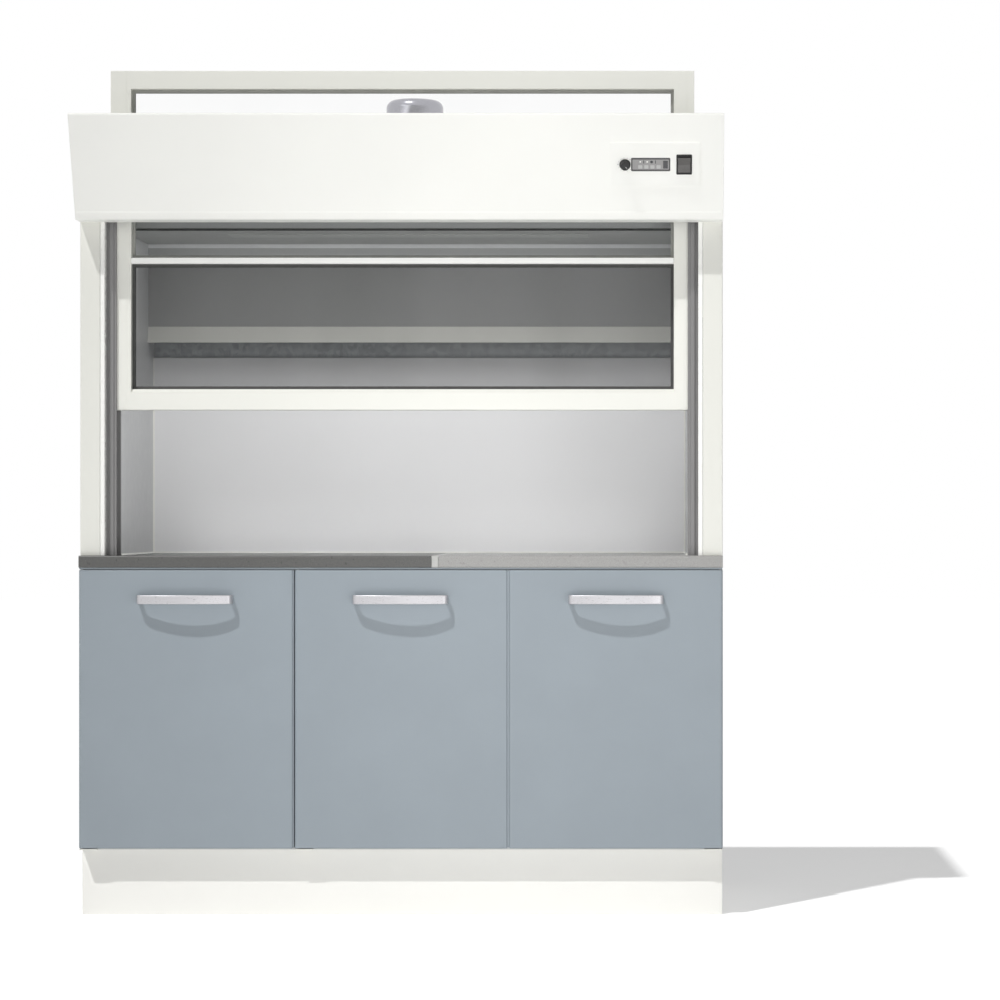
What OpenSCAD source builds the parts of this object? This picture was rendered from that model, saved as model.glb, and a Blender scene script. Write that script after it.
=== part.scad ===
// Dental laboratory fume hood: a three-door base cabinet, a worktop in two sections, a
// hollow-walled work chamber with a counterweighted vertical sash, and a sloping canopy
// that carries the controls. The extract fan stands in the roof space.
// Frame: +X right, +Y away from the user, +Z up, origin at the middle of the footprint.

/* [Overall] */
// Width of the cabinet, worktop and canopy
hood_w = 1500; // [1300:10:1700]
// How far the canopy's top edge stands ahead of the posts
canopy_out_top = 170; // [150:5:185]
// How far the worktop reaches behind the front of the posts
worktop_rear = 655; // [650:5:690]

/* [Base cabinet] */
// Height of the plinth
plinth_h = 155; // [120:5:180]
// Distance from the door faces back to the plinth
plinth_recess = 45; // [35:5:60]
// Thickness of the cabinet boards
board_t = 18; // [16:1:22]
// Height of the cabinet between the plinth and the worktop
cabinet_h = 658; // [600:10:720]
// Distance from the front of the posts to the back of the cabinet
cabinet_rear = 640; // [600:5:645]
// Thickness of the rear board of the cabinet
back_board_t = 8; // [6:1:12]
// Depth of the front and rear rails under the worktop
rail_d = 80; // [60:5:110]
// Height of the shelves above the cabinet's bottom board
shelf_rise = 300; // [200:10:380]
// Distance that the shelves stand back from the doors
shelf_setback = 30; // [20:5:60]
// Side clearance of a shelf
shelf_gap = 1; // [0.5:0.5:2]
// Diameter of a shelf pin
shelf_pin_d = 6; // [5:1:8]
// Length of a shelf pin outside the board
shelf_pin_len = 14; // [10:1:18]
// Diameter of a levelling foot
foot_d = 50; // [40:5:60]
// Height of the pad of a levelling foot
foot_pad_h = 12; // [8:1:16]
// Diameter of a foot's threaded stem
foot_stem_d = 12; // [8:1:14]

/* [Doors] */
// How far the door faces stand ahead of the posts
door_ahead = 20; // [18:1:24]
// Thickness of a door
door_t = 19; // [16:1:20]
// Gap between two doors
door_gap = 5; // [5:0.5:7]
// Gap under the doors
door_foot_gap = 4; // [4:0.5:7]
// Gap between the doors and the worktop
door_head_gap = 5; // [5:0.5:8]
// Gap between the cabinet and the back of the doors
door_rear_gap = 2.5; // [2.5:0.5:4]
// Radius of the vertical edges of a door
door_edge_r = 2.5; // [1.5:0.5:3]
// Distance from a door's edge and face to its pivot
pivot_in = 7; // [6.5:0.5:8]
// Diameter of a pivot pin
pivot_d = 5; // [4:0.5:6]
// Clearance between a pivot pin and its bore, on the radius
pivot_play = 0.05; // [0.03:0.01:0.08]
// Length of a pivot pin inside the door
pivot_len = 12; // [10:1:18]
// Thickness of a pivot plate
plate_t = 2.5; // [2:0.5:3]
// Length of a pivot plate, front to back
plate_len = 46; // [36:2:60]
// Width of a pivot plate
plate_w = 24; // [18:1:30]
// Size of a magnetic catch
catch_size = 14; // [10:1:18]

/* [Door handles] */
// Length of a bow handle
handle_len = 221; // [180:1:260]
// Height of the handle's flat band
handle_h = 21; // [16:1:26]
// How far a handle stands out from its door
handle_out = 43; // [36:1:50]
// How far the straight ends of its band stand out
handle_leg = 20; // [14:1:22]
// Outer radius of the bends between the ends and the bow
handle_bend_r = 12; // [8:1:13]
// Thickness of the band
handle_t = 5; // [4:0.5:7]
// Height of the handle's middle above the door's lower edge
handle_rise = 580; // [450:5:600]

/* [Worktop] */
// Thickness of the worktop
worktop_t = 28; // [25:1:40]
// How far the worktop's front edge stands ahead of the posts
worktop_ahead = 24; // [22:1:60]
// Place of the joint between the two sections, right of the middle
joint_x = 72; // [-200:1:200]
// Width of the joint strip
joint_w = 15; // [8:1:24]

/* [Chamber] */
// Height of the posts and walls above the worktop
upper_h = 1013; // [980:5:1050]
// Height of the roof space over the chamber's ceiling
roof_space_h = 244; // [225:1:270]
// Thickness of the hollow side walls
wall_w = 81; // [78:1:95]
// Width of the front of a post
post_w = 57; // [55:1:60]
// Depth of a post
post_d = 95; // [94:1:110]
// Thickness of the sheet metal
sheet_t = 2; // [1.5:0.5:2.5]
// Distance from the front of the posts to the chamber's rear wall
back_wall_y = 590; // [570:5:592]
// Distance from the front of the posts to the rear cover's outer face
rear_cover_y = 612; // [608:1:618]
// Thickness of the chamber's rear wall
back_wall_t = 4; // [3:1:8]
// Height of the rear wall above the worktop
back_wall_h = 491; // [440:1:500]
// Height of the extraction slot
slot_h = 33; // [20:1:45]
// Distance of the upper baffle ahead of the rear wall
baffle_ahead = 79; // [60:1:95]
// Thickness of the baffle
baffle_t = 3; // [2:0.5:4]
// Height of the baffle's bent lip
lip_h = 40; // [30:1:55]
// How far the lip's lower edge is bent forward
lip_out = 12; // [6:1:18]

/* [Lamp and filter] */
// Length of the lamp
lamp_len = 900; // [600:10:1100]
// Depth of the lamp
lamp_d = 110; // [80:5:140]
// Height of the lamp's housing above the ceiling
lamp_h = 45; // [35:1:60]
// Distance from the posts' front to the lamp's middle
lamp_y = 250; // [190:5:300]
// Length of the filter cassette
filter_len = 600; // [400:10:900]
// Depth of the filter cassette
filter_d = 80; // [60:1:84]
// Height of the filter cassette
filter_h = 50; // [30:1:60]
// Width of the cassette's flange
filter_flange = 4; // [3:0.5:5]

/* [Sash guides] */
// Thickness of a guide's web
guide_web = 3; // [2:0.5:4]
// Thickness of a guide's flanges
guide_flange = 10; // [8:1:12]
// Clearance between the sash and the guides, front and rear
guide_play = 1; // [0.8:0.1:1.4]
// Step of the flange beside the post
guide_step = 6; // [3:1:7]
// Step of the flange's inner edge
guide_nose = 3; // [1:1:5]

/* [Sash] */
// Height of the sash
sash_h = 795; // [780:1:805]
// Depth of the sash frame
sash_d = 50; // [44:1:50]
// Distance from the front of the posts to the sash
sash_y = 31; // [31:1:33]
// How far the sash reaches into its guides
sash_in = 15; // [12:1:15]
// Wall of the sash's hollow profiles
profile_t = 3; // [2:0.5:4]
// Width of the stiles
stile_w = 48; // [40:1:60]
// Height of the top rail
top_rail_h = 43; // [35:1:55]
// Height of the bottom rail
bottom_rail_h = 49; // [40:1:60]
// Bevel along the top of the bottom rail
rail_bevel = 8; // [4:1:12]
// Height of the transom's lower edge above the sash's lower edge
transom_rise = 343; // [250:1:500]
// Height of the transom
transom_h = 14; // [12:1:30]
// Height of the sash above the worktop, as it stands
sash_rest = 341; // [300:1:345]
// How far the sash can go up from there
sash_up = 370; // [300:5:370]
// Thickness of the panes
glass_t = 6; // [4:1:8]
// How far a pane reaches into the frame
glass_in = 6; // [4:1:8]
// Width of the glazing seals on the pane
seal_w = 10; // [6:1:14]
// Thickness of the glazing seals
seal_t = 5; // [3:1:6]
// Size of a slider pad on the sash
slider_h = 50; // [30:5:70]
// Running gap between a slider pad and its guide
slider_gap = 0.3; // [0.2:0.05:0.5]

/* [Counterweights] */
// Diameter of the cable
cable_d = 3; // [2:0.5:3]
// Radius of the cable's middle round the pulley
pulley_r = 17.5; // [17:0.5:18]
// Width of a pulley
pulley_w = 12; // [10:1:16]
// Height of the pulley flanges over the cable's middle
pulley_rim = 2.5; // [2:0.1:2.6]
// Diameter of a pulley's axle
axle_d = 8; // [6:1:10]
// Clearance of a pulley on its axle, on the radius
axle_play = 0.05; // [0.03:0.01:0.08]
// Height of the pulleys' axles below the top of the posts
pulley_drop = 69; // [60:1:75]
// Width of a counterweight
weight_w = 48; // [30:1:50]
// Depth of a counterweight
weight_d = 80; // [50:1:82]
// Gap left over and under a counterweight at the ends of its travel
weight_stop = 14; // [8:1:30]
// Height of the eye on a counterweight
eye_h = 12; // [8:1:14]
// Height of the cable lugs on the sash's edges
anchor_h = 40; // [20:1:50]

/* [Canopy] */
// Height of the canopy
canopy_h = 235; // [215:1:238]
// How far the canopy's lower edge stands ahead of the posts
canopy_out_low = 66; // [50:1:90]
// How far the canopy's top reaches back between the posts
canopy_back_y = 28; // [10:1:28]

/* [Controls] */
// Distance from the canopy's right end to the middle of the control plate
control_in = 158; // [130:1:400]
// Width of the control plate
control_w = 207; // [190:1:230]
// Height of the control plate up the slope
control_h = 106; // [90:1:120]
// Height of its middle up the slope
control_rise = 134; // [100:1:160]
// Thickness of the control plate
control_t = 2; // [1.5:0.5:3]
// Middle of the knob from the plate's middle
knob_x = -69; // [-85:1:-60]
// Diameter of the knob
knob_d = 26; // [20:1:32]
// Height of the knob
knob_h = 16; // [10:1:20]
// Diameter of the knob's shaft
knob_shaft_d = 6; // [5:1:8]
// Middle of the key strip from the plate's middle
keys_x = -10; // [-12:1:-4]
// Width of the key strip
keys_w = 90; // [60:1:92]
// Height of the key strip
keys_h = 32; // [24:1:40]
// Middle of the switch from the plate's middle
switch_x = 67; // [60:1:75]
// Width of the switch frame
switch_w = 36; // [28:1:44]
// Height of the switch frame
switch_h = 48; // [38:1:58]
// Depth of the switch behind the plate
switch_d = 22; // [18:1:28]
// Tilt of the rocker to either side
rocker_tilt = 7; // [4:1:9]
// Depth of the control box behind the canopy's sheet
box_d = 55; // [50:1:60]

/* [Extract fan] */
// Distance from the posts' front to the fan's axis
fan_y = 437; // [400:1:460]
// Radius of the fan housing
fan_r = 130; // [120:1:140]
// Height of the fan housing
fan_h = 130; // [125:1:135]
// Depth of the fan housing's top under the roof
fan_drop = 42; // [34:1:60]
// Diameter of the studs that hang the fan housing from the roof
hanger_d = 10; // [8:1:16]
// Radius of the fan's inlet
inlet_r = 70; // [50:1:80]
// Radius of the impeller
impeller_r = 95; // [80:1:105]
// Number of impeller blades
blade_count = 14; // [8:1:20]
// Radius of the fan motor
motor_r = 48; // [40:1:52]
// Height of the fan motor
motor_h = 118; // [90:1:125]
// Diameter of the motor shaft
shaft_d = 12; // [8:1:14]
// Radius of the motor cowl
cowl_r = 70; // [64:1:90]
// Height of the cowl's straight side
cowl_h = 94; // [84:1:100]
// Height of the cowl's dome
dome_h = 18; // [15:1:26]
// Outer radius of the bend between the cowl's side and its crown
cowl_bend_r = 12; // [8:1:13]
// Sideways place of the outlet
outlet_x = 65; // [55:1:69]
// Outer diameter of the outlet spigot
spigot_d = 125; // [118:1:125]
// How far the spigot stands out behind the rear cover
spigot_len = 43; // [30:1:43]
// Distance from the right end to the cable gland
gland_in = 250; // [120:1:450]
// Diameter of the cable gland's bore
gland_bore_d = 9; // [6:1:12]

/* [Hidden] */
$fn = 64;

// A hair's breadth past a face, so that a cut goes right through
over = 1;
// Gap that keeps two moving pieces apart
near = 0.3;
half_w = hood_w / 2;
module_w = hood_w / 3;
// Front face of the posts
post_y = (canopy_out_top - worktop_rear) / 2;
// Levels
cabinet_top_z = plinth_h + cabinet_h;
worktop_z = cabinet_top_z + worktop_t;
head_z = worktop_z + upper_h;
ceiling_z = head_z - roof_space_h;
// Cabinet
carcass_y = post_y - door_ahead + door_t + door_rear_gap;
cabinet_back_y = post_y + cabinet_rear;
inner_bottom_z = plinth_h + board_t;
inner_top_z = cabinet_top_z - board_t;
shelf_z = inner_bottom_z + shelf_rise;
plinth_y = post_y - door_ahead + plinth_recess;
// Doors
door_y = post_y - door_ahead;
door_z = plinth_h + door_foot_gap;
door_top_z = cabinet_top_z - door_head_gap;
handle_z = door_z + handle_rise;
// Walls
inner_x = half_w - wall_w;
post_x = half_w - post_w;
guide_rear_y = post_y + sash_y + sash_d + guide_play + guide_flange;
guide_front_y = post_y + sash_y - guide_play - guide_flange;
post_back_y = post_y + post_d;
rear_inner_y = post_y + rear_cover_y - sheet_t;
baffle_y = post_y + back_wall_y - baffle_ahead;
lip_z = worktop_z + back_wall_h + slot_h;
// Sash
sash_x = inner_x + sash_in;
sash_z = worktop_z + sash_rest;
sash_front_y = post_y + sash_y;
sash_mid_y = sash_front_y + sash_d / 2;
sash_inner_x = sash_x - stile_w;
transom_z = sash_z + transom_rise;
// Pulleys
axle_z = head_z - pulley_drop;
sash_cable_x = post_x - (post_x - sash_x) * 2 / 3;
axle_x = sash_cable_x + pulley_r;
weight_x = axle_x + pulley_r;
pulley_rim_r = pulley_r + pulley_rim;
weight_top_z = axle_z - pulley_rim_r - eye_h - weight_stop - sash_rest;
weight_h = weight_top_z - sash_up - weight_stop - worktop_z;
// Canopy
canopy_z = head_z - canopy_h;
slope = atan((canopy_out_top - canopy_out_low) / canopy_h);
control_x = half_w - control_in;
// Fan
gland_x = half_w - gland_in;
fan_top_z = head_z - sheet_t - fan_drop;
fan_z = fan_top_z - fan_h;
outlet_z = fan_z + fan_h / 2;
spigot_r = spigot_d / 2;
spigot_neck_r = spigot_r - sheet_t;

// A block given by its six faces
module block(x0, x1, y0, y1, z0, z1) {
    translate([x0, y0, z0]) cube([x1 - x0, y1 - y0, z1 - z0]);
}

// The points of a list in the opposite order
function flipped(points) = [for (i = [len(points) - 1 : -1 : 0]) points[i]];

// The points of a list on the other side of the middle, without the one on the middle
function mirrored_x(points) = [for (i = [0 : len(points) - 2]) [-points[i][0], points[i][1]]];

// Half a crowned outline, drawn in by t: from the side, over a bend, to the middle of a
// shallow arc. The arc's radius makes the bend run smoothly into both.
function crowned(half, foot, rise, bend_r, t, steps) =
    let (reach = half - bend_r,
        crown_r = (reach * reach + rise * rise - bend_r * bend_r) / (2 * (rise - bend_r)),
        lean = asin(reach / (crown_r - bend_r)))
    concat([for (i = [0 : steps - 1]) let (a = 90 - (90 - lean) * i / steps)
            [reach + (bend_r - t) * sin(a), foot + (bend_r - t) * cos(a)]],
        [for (i = [0 : steps]) let (a = lean * (steps - i) / steps)
            [(crown_r - t) * sin(a), foot + rise - crown_r + (crown_r - t) * cos(a)]]);

// The same thing on both sides of the hood
module both_sides() {
    children();
    mirror([1, 0, 0]) children();
}

// Places a shape on the slope of the canopy: x across, y up the slope, z outwards
module on_slope(x, up) {
    translate([x, post_y - canopy_out_low, canopy_z]) rotate([90 + slope, 0, 0])
        translate([0, up, 0]) children();
}

// A round bar along Y
module bar_y(x, z, y0, y1, r) {
    translate([x, y0, z]) rotate([-90, 0, 0]) cylinder(r = r, h = y1 - y0);
}

// Base cabinet

module plinth() {
    color("ivory") difference() {
        block(-half_w + near, half_w - near, plinth_y, cabinet_back_y, 0, plinth_h);
        block(-half_w + board_t, half_w - board_t, plinth_y + board_t,
            cabinet_back_y - board_t, -over, plinth_h + over);
    }
}

module levelling_feet() {
    row_y = [plinth_y + board_t + foot_d, cabinet_back_y - board_t - foot_d];
    row_x = [-half_w + board_t + foot_d, 0, half_w - board_t - foot_d];
    color("dimgray") for (x = row_x, y = row_y) translate([x, y, 0]) {
        cylinder(d = foot_d, h = foot_pad_h);
        cylinder(d = foot_stem_d, h = plinth_h);
    }
}

module cabinet_uprights() {
    color("lightgray") both_sides() {
        block(half_w - board_t, half_w, carcass_y, cabinet_back_y, plinth_h, cabinet_top_z);
        block(module_w / 2 - board_t / 2, module_w / 2 + board_t / 2, carcass_y,
            cabinet_back_y - back_board_t, inner_bottom_z, inner_top_z);
    }
}

module cabinet_bottom() {
    color("lightgray") difference() {
        block(-half_w + board_t, half_w - board_t, carcass_y, cabinet_back_y,
            plinth_h, inner_bottom_z);
        sunk_plates(plinth_h);
    }
}

module cabinet_rails() {
    inner = half_w - board_t;
    color("lightgray") {
        difference() {
            block(-inner, inner, carcass_y, carcass_y + rail_d, inner_top_z, cabinet_top_z);
            sunk_plates(cabinet_top_z - plate_t);
        }
        block(-inner, inner, cabinet_back_y - back_board_t - rail_d,
            cabinet_back_y - back_board_t, inner_top_z, cabinet_top_z);
    }
}

module cabinet_back() {
    color("gainsboro") block(-half_w + board_t, half_w - board_t,
        cabinet_back_y - back_board_t, cabinet_back_y, inner_bottom_z, cabinet_top_z);
}

// Left and right inner faces of each compartment
bays = [
    [-half_w + board_t, -module_w / 2 - board_t / 2],
    [-module_w / 2 + board_t / 2, module_w / 2 - board_t / 2],
    [module_w / 2 + board_t / 2, half_w - board_t]
];

module shelves() {
    color("lightgray") for (bay = bays)
        block(bay[0] + shelf_gap, bay[1] - shelf_gap, carcass_y + shelf_setback,
            cabinet_back_y - back_board_t - shelf_gap, shelf_z, shelf_z + board_t);
}

module shelf_pins() {
    pin_y = [carcass_y + shelf_setback + rail_d, cabinet_back_y - rail_d];
    color("silver") for (bay = bays, y = pin_y, side = [0, 1])
        translate([side == 0 ? bay[0] : bay[1] - shelf_pin_len, y,
            shelf_z - shelf_pin_d / 2])
            rotate([0, 90, 0]) cylinder(d = shelf_pin_d, h = shelf_pin_len);
}

// Each door: left edge, right edge, and the side of its pivot
doors = [
    [-half_w, -module_w / 2 - door_gap / 2, -1],
    [-module_w / 2 + door_gap / 2, module_w / 2 - door_gap / 2, -1],
    [module_w / 2 + door_gap / 2, half_w, 1]
];
function pivot_x(door) = door[2] < 0 ? door[0] + pivot_in : door[1] - pivot_in;
pivot_y = door_y + pivot_in;

// Across the hood: the two ends of a door's pivot plate
function plate_span(door) = let (edge = pivot_x(door) + door[2] * (pivot_in - 1))
    door[2] < 0 ? [edge, edge + board_t + plate_w] : [edge - board_t - plate_w, edge];

// The three pivot plates at one level, as far as they lie in the cabinet's boards
module sunk_plates(z) {
    limit = half_w - board_t;
    for (door = doors)
        block(max(plate_span(door)[0], -limit), min(plate_span(door)[1], limit),
            carcass_y, carcass_y + plate_len - door_t, z, z + plate_t);
}

module door_pivots() {
    color("silver") for (door = doors) pivot(door);
    color("silver") for (z = [plinth_h, cabinet_top_z - plate_t]) sunk_plates(z);
}

// One door's two pins, each with the part of its plate that stands under or over the door
module pivot(door) {
    span = plate_span(door);
    for (z = [plinth_h, cabinet_top_z - plate_t])
        block(span[0], span[1], door_y + 1, carcass_y, z, z + plate_t);
    translate([pivot_x(door), pivot_y, plinth_h])
        cylinder(d = pivot_d, h = door_z + pivot_len - plinth_h);
    translate([pivot_x(door), pivot_y, door_top_z - pivot_len])
        cylinder(d = pivot_d, h = cabinet_top_z - door_top_z + pivot_len);
}

module door_catches() {
    color("dimgray") for (door = doors) {
        x = door[2] < 0 ? door[1] - board_t - 2 * catch_size
            : door[0] + board_t + 2 * catch_size;
        block(x - catch_size, x + catch_size, carcass_y - door_rear_gap + near,
            carcass_y + 2 * catch_size, inner_top_z - catch_size, inner_top_z);
    }
}

module door(i) {
    x0 = doors[i][0];
    x1 = doors[i][1];
    y1 = door_y + door_t;
    r = door_edge_r;
    color("lightsteelblue") difference() {
        translate([0, 0, door_z]) linear_extrude(door_top_z - door_z) union() {
            translate([x0, door_y + r]) square([x1 - x0, door_t - r]);
            translate([x0 + r, door_y]) square([x1 - x0 - 2 * r, door_t]);
            for (x = [x0 + r, x1 - r]) translate([x, door_y + r]) circle(r);
        }
        for (z = [door_z - over, door_top_z - pivot_len - near])
            translate([pivot_x(doors[i]), pivot_y, z])
                cylinder(r = pivot_d / 2 + pivot_play, h = pivot_len + near + over);
    }
}
module door_left() { door(0); }
module door_middle() { door(1); }
module door_right() { door(2); }

// A flat band bent to a bow, its two ends on the door
// Half of the handle's outline, drawn in by t, from the door over the bend to the middle
function bow_side(t) = concat([[handle_len / 2 - t, 0]],
    crowned(handle_len / 2, handle_leg, handle_out - handle_leg, handle_bend_r, t, 8));

// A flat band with two straight ends, two bends and a shallow bow between them
module handle(i) {
    x = (doors[i][0] + doors[i][1]) / 2;
    outer = bow_side(0);
    inner = bow_side(handle_t);
    color("gainsboro") translate([x, door_y, handle_z - handle_h / 2])
        linear_extrude(handle_h) mirror([0, 1])
            polygon(concat(outer, flipped(mirrored_x(outer)), mirrored_x(inner),
                flipped(inner)));
}
module handle_left() { handle(0); }
module handle_middle() { handle(1); }
module handle_right() { handle(2); }

// Worktop

module worktop_part(x0, x1) {
    block(x0, x1, post_y - worktop_ahead, post_y + worktop_rear, cabinet_top_z, worktop_z);
}
module worktop_left() { color("dimgray") worktop_part(-half_w, joint_x); }
module worktop_joint() { color("white") worktop_part(joint_x, joint_x + joint_w); }
module worktop_right() { color("lightgray") worktop_part(joint_x + joint_w, half_w); }

// Posts, walls and covers

// Opening for the pulley and the cable through a post and its guide
module pulley_window() {
    block(inner_x, axle_x, sash_mid_y - pulley_w / 2 - 3 * near,
        sash_mid_y + pulley_w / 2 + 3 * near,
        axle_z - pulley_rim_r - 1, axle_z + pulley_rim_r + 1);
}

module post() {
    color("ivory") difference() {
        block(post_x, half_w, post_y, post_back_y, worktop_z, head_z);
        block(post_x + sheet_t, half_w - sheet_t, post_y + sheet_t, post_back_y - sheet_t,
            worktop_z - over, head_z - sheet_t);
        pulley_window();
    }
}
module post_left() { mirror([1, 0, 0]) post(); }
module post_right() { post(); }

// A channel that holds the sash's edge, with a stepped front flange
module guide() {
    slot_y0 = sash_front_y - guide_play;
    slot_y1 = sash_front_y + sash_d + guide_play;
    face = (post_x - inner_x) / 3;
    color("gray") difference() {
        translate([0, 0, worktop_z]) linear_extrude(upper_h - 2 * sheet_t) polygon([
            [inner_x, guide_front_y + guide_nose], [inner_x + face * 0.75, guide_front_y + guide_nose],
            [inner_x + face * 0.75, guide_front_y], [post_x - face, guide_front_y],
            [post_x - face, guide_front_y + guide_step], [post_x, guide_front_y + guide_step],
            [post_x, guide_rear_y], [inner_x, guide_rear_y], [inner_x, slot_y1],
            [post_x - guide_web, slot_y1], [post_x - guide_web, slot_y0], [inner_x, slot_y0]]);
        pulley_window();
    }
}
module guide_left() { mirror([1, 0, 0]) guide(); }
module guide_right() { guide(); }

module outer_sides() {
    color("ivory") both_sides() block(half_w - sheet_t, half_w, post_back_y,
        rear_inner_y + sheet_t, worktop_z, head_z - sheet_t);
}

module chamber_linings() {
    color("gainsboro") both_sides() block(inner_x, inner_x + sheet_t, guide_rear_y,
        rear_inner_y, worktop_z, ceiling_z);
}

module back_wall() {
    y = post_y + back_wall_y;
    color("whitesmoke") block(-inner_x, inner_x, y, y + back_wall_t, worktop_z,
        worktop_z + back_wall_h);
}

// Upper baffle with a lip bent forward over the extraction slot
module baffle() {
    t = baffle_t;
    color("gainsboro") translate([-inner_x, 0, 0]) rotate([90, 0, 90])
        linear_extrude(2 * inner_x) polygon([
            [baffle_y, ceiling_z], [baffle_y, lip_z + lip_h], [baffle_y - lip_out, lip_z],
            [baffle_y - lip_out + t, lip_z], [baffle_y + t, lip_z + lip_h - t / 4],
            [baffle_y + t, ceiling_z]]);
}

module rear_cover() {
    color("gainsboro") difference() {
        block(-half_w + sheet_t, half_w - sheet_t, rear_inner_y, rear_inner_y + sheet_t,
            worktop_z, head_z - sheet_t);
        bar_y(outlet_x, outlet_z, rear_inner_y - over, rear_inner_y + sheet_t + over, spigot_neck_r);
        bar_y(gland_x, outlet_z, rear_inner_y - over, rear_inner_y + sheet_t + over,
            gland_bore_d);
    }
}

// Ceiling with its folded front wall, cut out for the filter and the lamp
module ceiling() {
    filter_y = (baffle_y + baffle_t + rear_inner_y) / 2;
    color("gainsboro") difference() {
        union() {
            block(-half_w + sheet_t, half_w - sheet_t, post_back_y, rear_inner_y,
                ceiling_z, ceiling_z + sheet_t);
            block(-half_w + sheet_t, half_w - sheet_t, post_back_y, post_back_y + sheet_t,
                ceiling_z, head_z - sheet_t);
        }
        block(-filter_len / 2, filter_len / 2, filter_y - filter_d / 2,
            filter_y + filter_d / 2, ceiling_z - over, ceiling_z + sheet_t + over);
        block(-lamp_len / 2 + board_t, lamp_len / 2 - board_t,
            post_y + lamp_y - lamp_d / 2 + board_t, post_y + lamp_y + lamp_d / 2 - board_t,
            ceiling_z - over, ceiling_z + sheet_t + over);
    }
}

module roof_panel() {
    front_y = sash_front_y + sash_d + guide_play;
    color("ivory") difference() {
        union() {
            block(-half_w, half_w, post_back_y, rear_inner_y + sheet_t,
                head_z - sheet_t, head_z);
            block(-post_x, post_x, front_y, post_back_y, head_z - sheet_t, head_z);
        }
        translate([0, post_y + fan_y, head_z - sheet_t - over])
            cylinder(r = motor_r + board_t / 3, h = sheet_t + 2 * over);
    }
}

// Canopy

// Side outline of the canopy, drawn in by the sheet's thickness t
module canopy_outline(t) {
    s = t / cos(slope);
    polygon([
        [post_y, canopy_z + t], [post_y, head_z - t],
        [post_y - canopy_out_top + s + t * tan(slope), head_z - t],
        [post_y - canopy_out_low + s - t * tan(slope), canopy_z + t]]);
}

module across(x0, x1) {
    translate([x0, 0, 0]) rotate([90, 0, 90]) linear_extrude(x1 - x0) children();
}

module canopy_shell() {
    color("ivory") difference() {
        union() {
            across(-half_w, half_w) canopy_outline(0);
            block(-post_x, post_x, post_y - over, post_y + canopy_back_y,
                head_z - sheet_t, head_z);
        }
        difference() {
            across(-half_w + sheet_t, half_w - sheet_t) canopy_outline(sheet_t);
        }
        block(-half_w + sheet_t, half_w - sheet_t, post_y - sheet_t, post_y + over / 2,
            canopy_z + sheet_t, head_z - sheet_t);
        on_slope(control_x, control_rise) {
            translate([knob_x, 0, -2 * sheet_t])
                cylinder(d = knob_shaft_d + 2, h = 4 * sheet_t);
            translate([switch_x - switch_w / 2 + 1, -switch_h / 2 + 1, -2 * sheet_t])
                cube([switch_w - 2, switch_h - 2, 4 * sheet_t]);
        }
    }
}

module canopy_back() {
    color("gainsboro") block(-half_w + sheet_t, half_w - sheet_t, post_y - sheet_t, post_y,
        canopy_z + sheet_t, head_z - sheet_t);
}

module control_plate() {
    color("white") on_slope(control_x, control_rise) difference() {
        translate([-control_w / 2, -control_h / 2, 0])
            cube([control_w, control_h, control_t]);
        translate([knob_x, 0, -over]) cylinder(d = knob_shaft_d + 2, h = control_t + 2 * over);
        translate([switch_x - switch_w / 2 + 1, -switch_h / 2 + 1, -over])
            cube([switch_w - 2, switch_h - 2, control_t + 2 * over]);
    }
}

module key_strip() {
    color("silver") on_slope(control_x + keys_x, control_rise)
        translate([-keys_w / 2, -keys_h / 2, control_t]) cube([keys_w, keys_h, 1]);
}

// Well of the switch: the rocker lies in it
well_w = switch_w - 6;
well_h = switch_h - 6;

module switch_body() {
    color("black") on_slope(control_x + switch_x, control_rise) difference() {
        union() {
            translate([-switch_w / 2, -switch_h / 2, control_t])
                cube([switch_w, switch_h, 2]);
            translate([-switch_w / 2 + 1, -switch_h / 2 + 1, -switch_d])
                cube([switch_w - 2, switch_h - 2, switch_d + control_t]);
        }
        translate([-well_w / 2, -well_h / 2, -switch_d + 4])
            cube([well_w, well_h, switch_d + control_t]);
        rotate([0, 90, 0]) translate([0, 0, -well_w / 2 - 1.5])
            cylinder(r = 1.5 + axle_play, h = well_w + 3);
    }
}

// A rocker with a shallow valley across its face, on its own pin
module rocker() {
    w = well_w - 2 * near;
    h = well_h / 2 - 2.5;
    color("dimgray") on_slope(control_x + switch_x, control_rise) {
        rotate([rocker_tilt, 0, 0]) rotate([90, 0, 90]) translate([0, 0, -w / 2])
            linear_extrude(w) polygon([[-h, -5], [h, -5], [h, 6.5], [0, 3.5], [-h, 6.5]]);
        rotate([0, 90, 0]) translate([0, 0, -well_w / 2 - 1])
            cylinder(r = 1.5, h = well_w + 2);
    }
}

module knob() {
    color("black") on_slope(control_x + knob_x, control_rise) {
        translate([0, 0, control_t + near]) cylinder(d = knob_d, h = knob_h);
        translate([0, 0, -sheet_t - 12]) cylinder(d = knob_shaft_d, h = sheet_t + 12 + knob_h);
    }
}

module control_box() {
    color("gray") on_slope(control_x, control_rise) difference() {
        translate([-control_w / 2 + 4, -control_h / 2 + 8, -sheet_t - box_d])
            cube([control_w - 8, control_h - 16, box_d]);
        translate([switch_x - switch_w / 2, -switch_h / 2, -switch_d - 4])
            cube([switch_w, switch_h, switch_d + 4]);
        translate([knob_x, 0, -sheet_t - 14])
            cylinder(r = knob_shaft_d / 2 + axle_play, h = 16);
    }
}

// Lamp and filter

module lamp_housing() {
    y = post_y + lamp_y;
    color("white") difference() {
        block(-lamp_len / 2, lamp_len / 2, y - lamp_d / 2, y + lamp_d / 2,
            ceiling_z + sheet_t, ceiling_z + sheet_t + lamp_h);
        block(-lamp_len / 2 + sheet_t, lamp_len / 2 - sheet_t, y - lamp_d / 2 + sheet_t,
            y + lamp_d / 2 - sheet_t, ceiling_z, ceiling_z + lamp_h);
    }
}

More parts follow.
